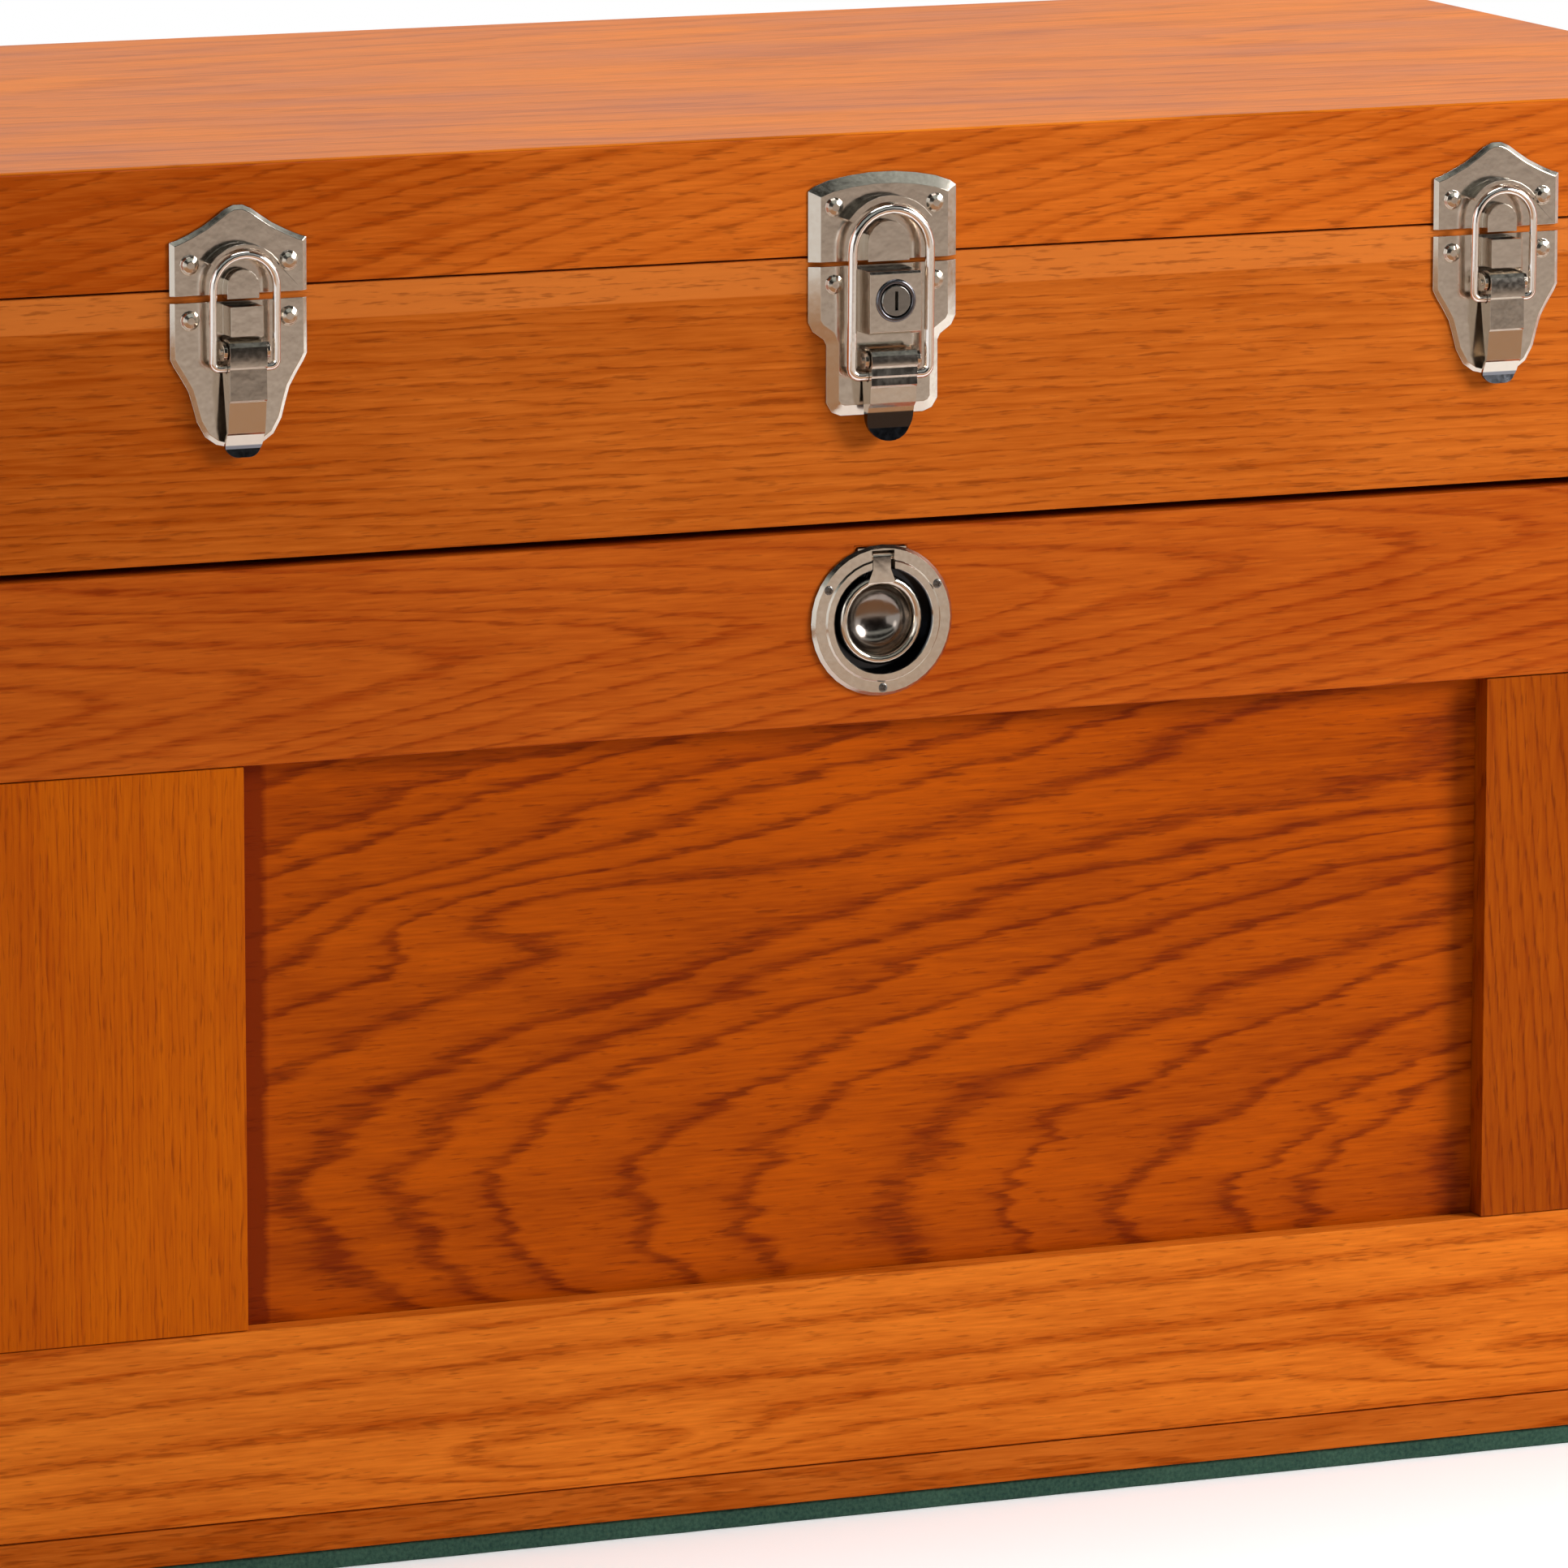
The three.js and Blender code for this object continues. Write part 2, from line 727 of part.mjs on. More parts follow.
function lockPlug(latch) {
  const back = latch.blockFace - plugLength;
  const face = latch.blockFace + plugProud;
  const edge = plugProud / 2;
  const plug = frontLathe(
    [[0, back], [plugRadius, back], [plugRadius, face - edge], [plugRadius - edge, face], [0, face]],
    roundSides);
  const slot = slab(
    [-keySlotWidth / 2, keySlotWidth / 2],
    [-face - overrun, -face + keySlotDepth],
    [-keySlotLength / 2, keySlotLength / 2],
  );
  return plug.subtract(slot);
}

// The lever's front line, as shares of its length below the pivot and of its top standoff
const sideLeverShares = [[0, 1], [0.14, 1], [0.16, 0.93], [0.45, 0.96], [0.47, 0.88], [0.76, 0.74],
  [0.78, 0.66], [0.92, 0.4], [1, 0.47]];
const middleLeverShares = [[0, 1], [0.06, 1], [0.09, 0.94], [0.18, 0.98], [0.21, 0.92], [0.3, 0.95],
  [0.33, 0.88], [0.52, 0.86], [0.58, 0.72], [0.84, 0.56], [1, 0.64]];
const flangeEndShare = 0.72;

function latchLever(latch, shares) {
  const length = latch.leverPivot - latch.leverTip;
  const top = latch.pivotStandoff + latch.leverRound;
  const front = shares.map(([down, out]) => [out * top, latch.leverPivot - down * length]);
  const skin = front.map(([out, height]) => [out - latch.sheet, height]);
  const flangeBack = latch.pivotStandoff - latch.leverRound;
  const flangeEnd = latch.leverPivot - flangeEndShare * length;
  const lower = skin.filter(([, height]) => height < flangeEnd).reverse();

  const body = new THREE.Shape();
  body.absarc(latch.pivotStandoff, latch.leverPivot, latch.leverRound, Math.PI, 0, true);
  [...front.slice(1), ...lower].forEach(([out, height]) => body.lineTo(out, height));
  body.lineTo(flangeBack, latch.leverPivot - latch.leverRound);

  const hollow = new THREE.Shape();
  hollow.absarc(latch.pivotStandoff, latch.leverPivot, latch.leverRound - latch.sheet, Math.PI / 2, 0, true);
  skin.slice(1).forEach(([out, height]) => hollow.lineTo(out, height));
  hollow.lineTo(-overrun, latch.leverTip);
  hollow.lineTo(-overrun, latch.leverPivot + latch.leverRound - latch.sheet);

  const half = latch.leverWidth / 2;
  const past = latch.leverWidth + 2 * overrun;
  const corner = latch.leverCorner;
  const face = new THREE.Shape();
  face.moveTo(half, latch.leverPivot + latch.leverRound + overrun);
  face.lineTo(-half, latch.leverPivot + latch.leverRound + overrun);
  face.absarc(corner - half, latch.leverTip + corner, corner, Math.PI, 1.5 * Math.PI);
  face.absarc(half - corner, latch.leverTip + corner, corner, 1.5 * Math.PI, 2 * Math.PI);

  const channel = sideExtrude(body, latch.leverWidth)
    .subtract(sideExtrude(hollow, latch.leverWidth - 2 * latch.sheet))
    .intersect(frontExtrude(face, 0, top + overrun));
  return cut(channel, [
    crossBar(latch.pinRadius + runningGap, past, latch.pivotStandoff, latch.leverPivot),
    crossBar(latch.wireRadius + runningGap, past, latch.pivotStandoff, latch.bailPivot),
  ]);
}

// The wire bail: stubs in the lever's flanges, two legs and a round arch
function latchBail(latch) {
  const leg = latch.legSpacing / 2;
  const bend = latch.wireRadius * bendShare;
  const stub = latch.leverWidth / 2 - latch.sheet;
  const arch = latch.archTop - leg;
  const across = new THREE.Vector3(1, 0, 0);
  const foot = new THREE.Vector3(0, -latch.pivotStandoff, latch.bailPivot);
  const crown = new THREE.Vector3(0, -latch.archStandoff, latch.archTop);
  const up = crown.clone().sub(foot).normalize();
  const rise = arch - latch.bailPivot;
  const at = (x, along) => foot.clone().addScaledVector(across, x).addScaledVector(up, along);
  const points = [
    at(stub, 0),
    ...arcPoints(at(leg - bend, bend), bend, -Math.PI / 2, 0, bendSteps, across, up),
    ...arcPoints(at(0, rise), leg, 0, Math.PI, archSteps, across, up),
    ...arcPoints(at(bend - leg, bend), bend, Math.PI, 1.5 * Math.PI, bendSteps, across, up),
    at(-stub, 0),
  ];
  return wire(points, latch.wireRadius, wireSides);
}

// Flush ring pull

function pullCup() {
  const face = cupFlange;
  const rim = face + collarRise;
  const floor = -grooveDepth;
  const dish = [];
  for (let step = 0; step < dishSteps; step += 1) {
    const angle = (Math.PI / 2) * (step / dishSteps);
    dish.push([dishRadius * Math.cos(angle), floor - (dishDepth - grooveDepth) * Math.sin(angle)]);
  }
  dish.push([0, -dishDepth]);
  const back = grooveRadius + cupWall;
  const body = frontLathe([
    [0, -dishDepth - cupWall],
    [dishRadius * cupTaperShare, -dishDepth],
    [back, floor - 2 * cupWall],
    [back, seatGap],
    [cupRadius, seatGap],
    [cupRadius, face - cupBevel],
    [cupRadius - cupBevel, face],
    [collarRadius + collarRise, face],
    [collarRadius, rim],
    [grooveRadius + collarRise, rim],
    [grooveRadius, face],
    [grooveRadius, floor],
    ...dish,
  ], cupSides);
  const deep = floor - cupWall;
  const block = slab(
    [-hingeBlockWidth / 2, hingeBlockWidth / 2],
    [-deep, -face / 2],
    [grooveRadius - cupWall, slotTop + cupWall / 2],
  );
  const slot = slab([-slotWidth / 2, slotWidth / 2], [-floor, -face - overrun], [dishRadius, slotTop]);
  const pinHole = crossBar(
    ringPinRadius + runningGap, ringPinLength + 2 * runningGap, -ringSink, ringHinge);
  return cut(join([body, block]), [slot, pinHole, insideOfGroove(floor)]);
}

// The annular room of the ring, cut again where the hinge block reaches into it
function insideOfGroove(floor) {
  return frontLathe([
    [dishRadius, floor], [grooveRadius, floor], [grooveRadius, cupFlange + overrun],
    [dishRadius, cupFlange + overrun], [dishRadius, floor],
  ], cupSides);
}

function pullRing() {
  const torus = new THREE.TorusGeometry(ringRadius, ringTube, wireSides, ringSteps);
  torus.rotateX(Math.PI / 2);
  torus.translate(0, ringSink, 0);
  const half = shankWidth / 2;
  const shank = outline([
    [-half - ringTube, ringRadius - ringTube / 2],
    [half + ringTube, ringRadius - ringTube / 2],
    [half, ringRadius + 2 * ringTube],
    [half, ringHinge],
    [-half, ringHinge],
    [-half, ringRadius + 2 * ringTube],
  ]);
  return join([
    solid(torus),
    frontExtrude(shank, -ringSink - ringTube, -ringSink + ringTube),
    crossBar(ringTube, shankWidth, -ringSink, ringHinge, roundSides),
    crossBar(ringPinRadius, ringPinLength, -ringSink, ringHinge),
  ]);
}

// Front panel: rails run right through, stiles stand between them on stub tenons

const panelFieldY = frontY + fieldRecess;
const fieldLow = panelBottom + bottomRailHeight;
const fieldHigh = panelTop - topRailHeight;
const grooveY = [panelFieldY - glueGap, panelFieldY + fieldThickness + glueGap];
const pullHeight = (panelTop + fieldHigh) / 2 + pullLift;

function panelRail(low, high, edge, inward) {
  const board = slab([-panelHalf, panelHalf], [frontY, frontY + frontPanelThickness], [low, high]);
  const groove = slab(
    [-panelHalf - overrun, panelHalf + overrun], grooveY,
    [edge - inward * overrun, edge + inward * (frameGroove + glueGap)]);
  return board.subtract(groove);
}

function topRail() {
  const rail = panelRail(fieldHigh, panelTop, fieldHigh, 1);
  const bore = frontLathe([
    [0, -dishDepth - 2 * cupWall], [grooveRadius + cupWall + seatGap, -dishDepth - 2 * cupWall],
    [grooveRadius + cupWall + seatGap, overrun], [0, overrun],
  ], cupSides, 0, pullHeight).translate([0, frontY, 0]);
  const pocket = slab(
    [-hingeBlockWidth / 2 - seatGap, hingeBlockWidth / 2 + seatGap],
    [frontY - overrun, frontY + grooveDepth + cupWall + seatGap],
    [pullHeight, pullHeight + slotTop + cupWall / 2 + seatGap],
  );
  return cut(rail, [bore, pocket]);
}

function panelStile(sign) {
  const inner = panelHalf - stileWidth;
  const y = [frontY, frontY + frontPanelThickness];
  const board = slab(
    [sign * inner, sign * panelHalf], y, [fieldLow + glueGap, fieldHigh - glueGap]);
  const tenon = slab(
    [sign * (inner + frameGroove + 2 * glueGap), sign * (panelHalf - sideThickness)],
    [panelFieldY, panelFieldY + fieldThickness],
    [fieldLow - frameGroove, fieldHigh + frameGroove],
  );
  const groove = slab(
    [sign * (inner - overrun), sign * (inner + frameGroove + glueGap)], grooveY,
    [fieldLow - overrun, fieldHigh + overrun]);
  return cut(board.add(tenon), [groove]);
}

function fieldPanel() {
  const half = panelHalf - stileWidth + frameGroove;
  return slab(
    [-half, half],
    [panelFieldY, panelFieldY + fieldThickness],
    [fieldLow - frameGroove, fieldHigh + frameGroove],
  );
}

// Drawers

const drawerHalf = innerHalf - drawerSideClearance;
const drawerBackY = backInnerY - drawerBackGap;

function drawerFront(bottom, height) {
  const back = drawerFrontY + drawerFrontThickness;
  const board = slab([-drawerHalf, drawerHalf], [drawerFrontY, back], [bottom, bottom + height]);
  const inner = drawerHalf - drawerSideThickness;
  const groove = slab(
    [-inner, inner], [back - drawerGroove, back + overrun],
    [bottom + drawerBottomLift - glueGap, bottom + drawerBottomLift + drawerBottomThickness + glueGap]);
  return board.subtract(groove);
}

function drawerBox(bottom, height) {
  const front = drawerFrontY + drawerFrontThickness + glueGap;
  const top = bottom + height - drawerSideDrop;
  const inner = drawerHalf - drawerSideThickness;
  const lift = bottom + drawerBottomLift;
  const board = slab([-drawerHalf, drawerHalf], [front, drawerBackY], [bottom, top]);
  const room = slab(
    [-inner, inner], [front - overrun, drawerBackY - drawerSideThickness], [bottom - overrun, top + overrun]);
  const groove = slab(
    [-inner - drawerGroove, inner + drawerGroove],
    [front - overrun, drawerBackY - drawerSideThickness + drawerGroove],
    [lift - glueGap, lift + drawerBottomThickness + glueGap],
  );
  return cut(board, [room, groove]);
}

function drawerBottom(bottom) {
  const x = drawerHalf - drawerSideThickness + drawerGroove - glueGap;
  const narrow = drawerHalf - drawerSideThickness - glueGap;
  const front = drawerFrontY + drawerFrontThickness;
  const y = drawerBackY - drawerSideThickness + drawerGroove - glueGap;
  const lift = bottom + drawerBottomLift;
  const z = [lift, lift + drawerBottomThickness];
  return join([
    slab([-x, x], [front + 2 * glueGap, y], z),
    slab([-narrow, narrow], [front - drawerGroove + glueGap, front + drawerGroove], z),
  ]);
}

const knobProfileShares = [[0, 0], [0.72, 0], [0.72, 0.1], [0.4, 0.2], [0.4, 0.42], [0.96, 0.66],
  [1, 0.82], [0.7, 1], [0, 1]];

function knob() {
  const reach = knobLength - seatGap;
  const points = knobProfileShares.map(([out, along]) => [out * knobRadius, seatGap + along * reach]);
  return frontLathe(points, smallSides);
}

// Side handles, drawn on a front face and turned to the sides

const handleEyeSpacing = handlePlateLength - 2 * handleEyeInset;

function handlePlate() {
  const round = handlePlateWidth / 2;
  const reach = handlePlateLength / 2 - round;
  const shape = new THREE.Shape();
  shape.absarc(reach, 0, round, -Math.PI / 2, Math.PI / 2);
  shape.absarc(-reach, 0, round, Math.PI / 2, 1.5 * Math.PI);
  const eyes = [-1, 1].flatMap((sign) => {
    const middle = (sign * handleEyeSpacing) / 2;
    const foot = outline([
      [handlePlateThickness / 2, -handleEyeRadius],
      [handleEyeStandoff, -handleEyeRadius],
      [handleEyeStandoff, handleEyeRadius],
      [handlePlateThickness / 2, handleEyeRadius],
    ]);
    return [
      sideExtrude(foot, handleEyeWidth, middle),
      crossBar(handleEyeRadius, handleEyeWidth, handleEyeStandoff, 0, roundSides, middle),
    ];
  });
  const past = handleEyeSpacing + 2 * handleEyeWidth;
  const bore = crossBar(handleRod + runningGap, past, handleEyeStandoff, 0, roundSides);
  return cut(join([frontExtrude(shape, seatGap, handlePlateThickness + seatGap), ...eyes]), [bore]);
}

function handleBail() {
  const eye = handleEyeSpacing / 2;
  const across = new THREE.Vector3(1, 0, 0);
  const up = new THREE.Vector3(0, 0, 1);
  const at = (x, z) => new THREE.Vector3(x, -handleEyeStandoff, z);
  const small = handleRod * bendShare;
  const low = handleBend - handleDrop;
  const leg = eye - handleEyeWidth / 2 - runningGap - small;
  const points = [
    at(eye + handleEyeWidth / 2, 0),
    ...arcPoints(at(leg + small, -small), small, Math.PI / 2, Math.PI, bendSteps, across, up),
    ...arcPoints(at(leg - handleBend, low), handleBend, 0, -Math.PI / 2, bendSteps, across, up),
    ...arcPoints(at(handleBend - leg, low), handleBend, -Math.PI / 2, -Math.PI, bendSteps, across, up),
    ...arcPoints(at(-leg - small, -small), small, 0, Math.PI / 2, bendSteps, across, up),
    at(-eye - handleEyeWidth / 2, 0),
  ];
  const end = (handleEyeSpacing * gripShare) / 2;
  const slope = end - handleRod;
  const neck = handleRod * gripNeckShare;
  const profile = outline([
    [0, -end], [neck, -end], [gripRadius, -slope], [gripRadius, slope], [neck, end], [0, end]]);
  const grip = new THREE.LatheGeometry(profile.getPoints(), smallSides);
  grip.rotateZ(Math.PI / 2);
  grip.translate(0, -handleEyeStandoff, -handleDrop);
  return wire(points, handleRod, smallSides).add(solid(grip));
}

// Assembly

const chest = new THREE.Group();
const { oak, oakPanel, oakInside, felt, nickel, steel } = finish;

function place(meshes, x, y, z, turn = 0) {
  const group = new THREE.Group();
  group.position.set(x, y, z);
  group.rotation.z = turn;
  group.add(...meshes);
  chest.add(group);
}

chest.add(
  piece("bottom_felt_pad", feltPad(), felt),
  piece("bottom_board", bottomBoard(), oak),
  piece("left_side_board", sideBoard(-1), oak),
  piece("right_side_board", sideBoard(1), oak),
  piece("back_board", backBoard(), oak),
  piece("apron_board", apronBoard(), oak),
  piece("till_floor", tillFloor(), oakInside),
  piece("lid_top_board", lidTopBoard(), oak),
  piece("lid_front_board", lidLong(-1), oak),
  piece("lid_back_board", lidLong(1), oak),
  piece("lid_left_board", lidShort(-1), oak),
  piece("lid_right_board", lidShort(1), oak),
  piece("panel_top_rail", topRail(), oak),
  piece("panel_bottom_rail", panelRail(panelBottom, fieldLow, fieldLow, -1), oak),
  piece("panel_left_stile", panelStile(-1), oak),
  piece("panel_right_stile", panelStile(1), oak),
  piece("panel_field", fieldPanel(), oakPanel),
);

drawers.forEach(({ name, height, bottom, shelf }) => {
  chest.add(
    piece(`${name}_drawer_divider`, divider(shelf), oakInside),
    piece(`${name}_drawer_front`, drawerFront(bottom, height), oak),
    piece(`${name}_drawer_box`, drawerBox(bottom, height), oakInside),
    piece(`${name}_drawer_bottom`, drawerBottom(bottom), oakInside),
  );
  [["left", -1], ["right", 1]].forEach(([side, sign]) => place(
    [piece(`${name}_drawer_${side}_knob`, knob(), nickel)],
    sign * (halfWidth - knobInset), drawerFrontY, bottom + height / 2));
});

[["left", -1], ["right", 1]].forEach(([side, sign]) => {
  place([
    piece(`${side}_latch_catch`, catchPlate(sideLatch, catchTopShares), nickel),
    piece(`${side}_latch_base`, basePlate(sideLatch, footShares, bridgeBlock(sideLatch)), nickel),
    piece(`${side}_latch_lever`, latchLever(sideLatch, sideLeverShares), nickel),
    piece(`${side}_latch_bail`, latchBail(sideLatch), nickel),
  ], sign * (halfWidth - latchInset), frontY, caseTop);
});

place([
  piece("middle_latch_catch", catchPlate(middleLatch, archTopShares), nickel),
  piece("middle_latch_base", basePlate(middleLatch, steppedFootShares, lockBlock(middleLatch)), nickel),
  piece("middle_latch_lever", latchLever(middleLatch, middleLeverShares), nickel),
  piece("middle_latch_bail", latchBail(middleLatch), nickel),
], 0, frontY, caseTop);
place([piece("lock_plug", lockPlug(middleLatch), steel)], 0, frontY, caseTop + plugHeight);

place([
  piece("ring_pull_cup", pullCup(), nickel),
  piece("ring_pull_ring", pullRing(), nickel),
], 0, frontY, pullHeight);

[["left", 0], ["right", 1]].forEach(([side, index]) => {
  place([
    piece(`${side}_hinge_lower_leaf`, hingeLeaf(caseTop, -1, 0), steel),
    piece(`${side}_hinge_upper_leaf`, hingeLeaf(lidBottom, 1, 1), steel),
    piece(`${side}_hinge_pin`, hingePin(), steel),
  ], hingeCentres[index], hingeY, hingeZ);
});

[["left", -1], ["right", 1]].forEach(([side, sign]) => {
  place([
    piece(`${side}_handle_plate`, handlePlate(), nickel),
    piece(`${side}_handle_bail`, handleBail(), nickel),
  ], sign * halfWidth, 0, caseTop - handleDepth, (sign * Math.PI) / 2);
});

export default chest;
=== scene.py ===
# Oak tool chest: a felt foot, a lidded till, three drawers and an inset front panel.
# Metres, +Z up, the front faces -Y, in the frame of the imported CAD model.

import math

import bmesh
import bpy
from mathutils import Matrix, Vector, noise


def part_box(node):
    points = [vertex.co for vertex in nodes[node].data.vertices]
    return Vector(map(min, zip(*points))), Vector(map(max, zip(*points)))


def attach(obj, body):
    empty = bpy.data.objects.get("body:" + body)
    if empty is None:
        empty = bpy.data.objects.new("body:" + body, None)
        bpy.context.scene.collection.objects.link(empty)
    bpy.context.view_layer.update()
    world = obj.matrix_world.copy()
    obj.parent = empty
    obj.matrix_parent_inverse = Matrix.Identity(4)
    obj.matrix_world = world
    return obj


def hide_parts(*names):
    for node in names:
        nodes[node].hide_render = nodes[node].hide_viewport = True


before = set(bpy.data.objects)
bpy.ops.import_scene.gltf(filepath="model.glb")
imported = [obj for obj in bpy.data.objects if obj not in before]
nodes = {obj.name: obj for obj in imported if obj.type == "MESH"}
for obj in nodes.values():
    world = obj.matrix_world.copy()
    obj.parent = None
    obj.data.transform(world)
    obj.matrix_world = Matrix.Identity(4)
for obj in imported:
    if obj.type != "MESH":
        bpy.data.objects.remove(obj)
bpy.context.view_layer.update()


# Felt foot
# A sheet of dark green wool felt, about 6 mm thick, glued under the base board. It is
# pressed fibre with no weave, so its cut edge is slightly ragged and nothing shines.


def linear(code):
    """An sRGB hex colour as the linear RGBA that a shader socket takes."""
    shares = [int(code[at:at + 2], 16) / 255 for at in (1, 3, 5)]
    return [c / 12.92 if c <= 0.04045 else ((c + 0.055) / 1.055) ** 2.4 for c in shares] + [1.0]


def node(tree, kind, inputs=(), **settings):
    """A shader node with its settings, and its inputs linked or set by name or number."""
    made = tree.nodes.new("ShaderNode" + kind)
    for name, value in settings.items():
        setattr(made, name, value)
    for key, value in dict(inputs).items():
        if isinstance(value, bpy.types.Node):
            value = value.outputs[0]
        if isinstance(value, bpy.types.NodeSocket):
            tree.links.new(value, made.inputs[key])
        else:
            made.inputs[key].default_value = value
    return made


def start_material(name):
    """A new material and its node tree, emptied."""
    material = bpy.data.materials.new(name)
    material.use_nodes = True
    material.node_tree.nodes.clear()
    return material, material.node_tree


def wool_felt(name, body, fibre):
    """Pressed wool: full roughness, a soft sheen, and tufts in clumps about 20 mm across.

    Single fibres are far too fine to show, so the tufts are drawn 1.2 mm across.
    """
    tuft = 0.0012
    clump = 0.02
    material, tree = start_material(name)
    place = node(tree, "TexCoord").outputs["Object"]
    fibres = node(tree, "TexNoise", {"Vector": place, "Scale": 1 / tuft, "Detail": 6.0})
    clumps = node(tree, "TexNoise", {"Vector": place, "Scale": 1 / clump, "Detail": 2.0})
    shade = node(tree, "Math", {0: clumps, 1: 0.4, 2: fibres}, operation="MULTIPLY_ADD")
    tone = node(tree, "MapRange", {0: shade, 1: 0.45, 2: 0.95, 3: 0.0, 4: 1.0})
    colour = node(tree, "Mix", {0: tone, 6: linear(body), 7: linear(fibre)}, data_type="RGBA")
    relief = node(tree, "Bump", {"Height": fibres, "Strength": 0.5, "Distance": 0.0005})
    shader = node(tree, "BsdfPrincipled", {
        "Base Color": colour.outputs[2], "Roughness": 1.0, "Normal": relief,
        "Sheen Weight": 0.12, "Sheen Roughness": 0.5, "Specular IOR Level": 0.1,
    })
    node(tree, "OutputMaterial", {0: shader})
    return material


def add_piece(name, mesh, material):
    """Makes an object of the scene from a finished bmesh and gives it its material."""
    data = bpy.data.meshes.new(name)
    mesh.to_mesh(data)
    mesh.free()
    data.materials.append(material)
    piece = bpy.data.objects.new(name, data)
    bpy.context.scene.collection.objects.link(piece)
    return piece


def felt_sheet(name, low, high, ragged, material):
    """A flat felt piece between two corners, its rim wavering as shears leave it."""
    across = 60
    deep = 32
    waves_per_metre = 90
    size = high - low
    mesh = bmesh.new()
    levels = []
    for z in (low.z, high.z):
        grid = []
        for i in range(across + 1):
            x = low.x + size.x * i / across
            grid.append([mesh.verts.new((x, low.y + size.y * k / deep, z)) for k in range(deep + 1)])
        levels.append(grid)
    for upper, grid in enumerate(levels):
        for i in range(across):
            for k in range(deep):
                corners = [grid[i][k], grid[i + 1][k], grid[i + 1][k + 1], grid[i][k + 1]]
                mesh.faces.new(corners if upper else corners[::-1])
    rim = [(i, 0) for i in range(across)] + [(across, k) for k in range(deep)]
    rim += [(i, deep) for i in range(across, 0, -1)] + [(0, k) for k in range(deep, 0, -1)]
    for (i, k), (j, m) in zip(rim, rim[1:] + rim[:1]):
        mesh.faces.new([levels[0][i][k], levels[0][j][m], levels[1][j][m], levels[1][i][k]])
    for grid in levels:
        for i, k in rim:
            vert = grid[i][k]
            step = ragged * (0.5 + 0.5 * noise.noise(vert.co * waves_per_metre))
            vert.co.x += step * ((i == 0) - (i == across))
            vert.co.y += step * ((k == 0) - (k == deep))
    return add_piece(name, mesh, material)


dark_felt = wool_felt("wool_felt_green", "#233F37", "#41614F")
foot_low, foot_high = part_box("bottom_felt_pad")
felt_foot = felt_sheet("felt_foot", foot_low, foot_high, 0.0008, dark_felt)
edge = felt_foot.modifiers.new("soft_edge", "BEVEL")
edge.width = 0.0008
edge.segments = 2
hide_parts("bottom_felt_pad")
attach(felt_foot, "case")


# Case boards
# Red oak boards, finger jointed at the corners and glued to a base board. They are planed
# smooth, stained amber and sprayed with a satin lacquer.


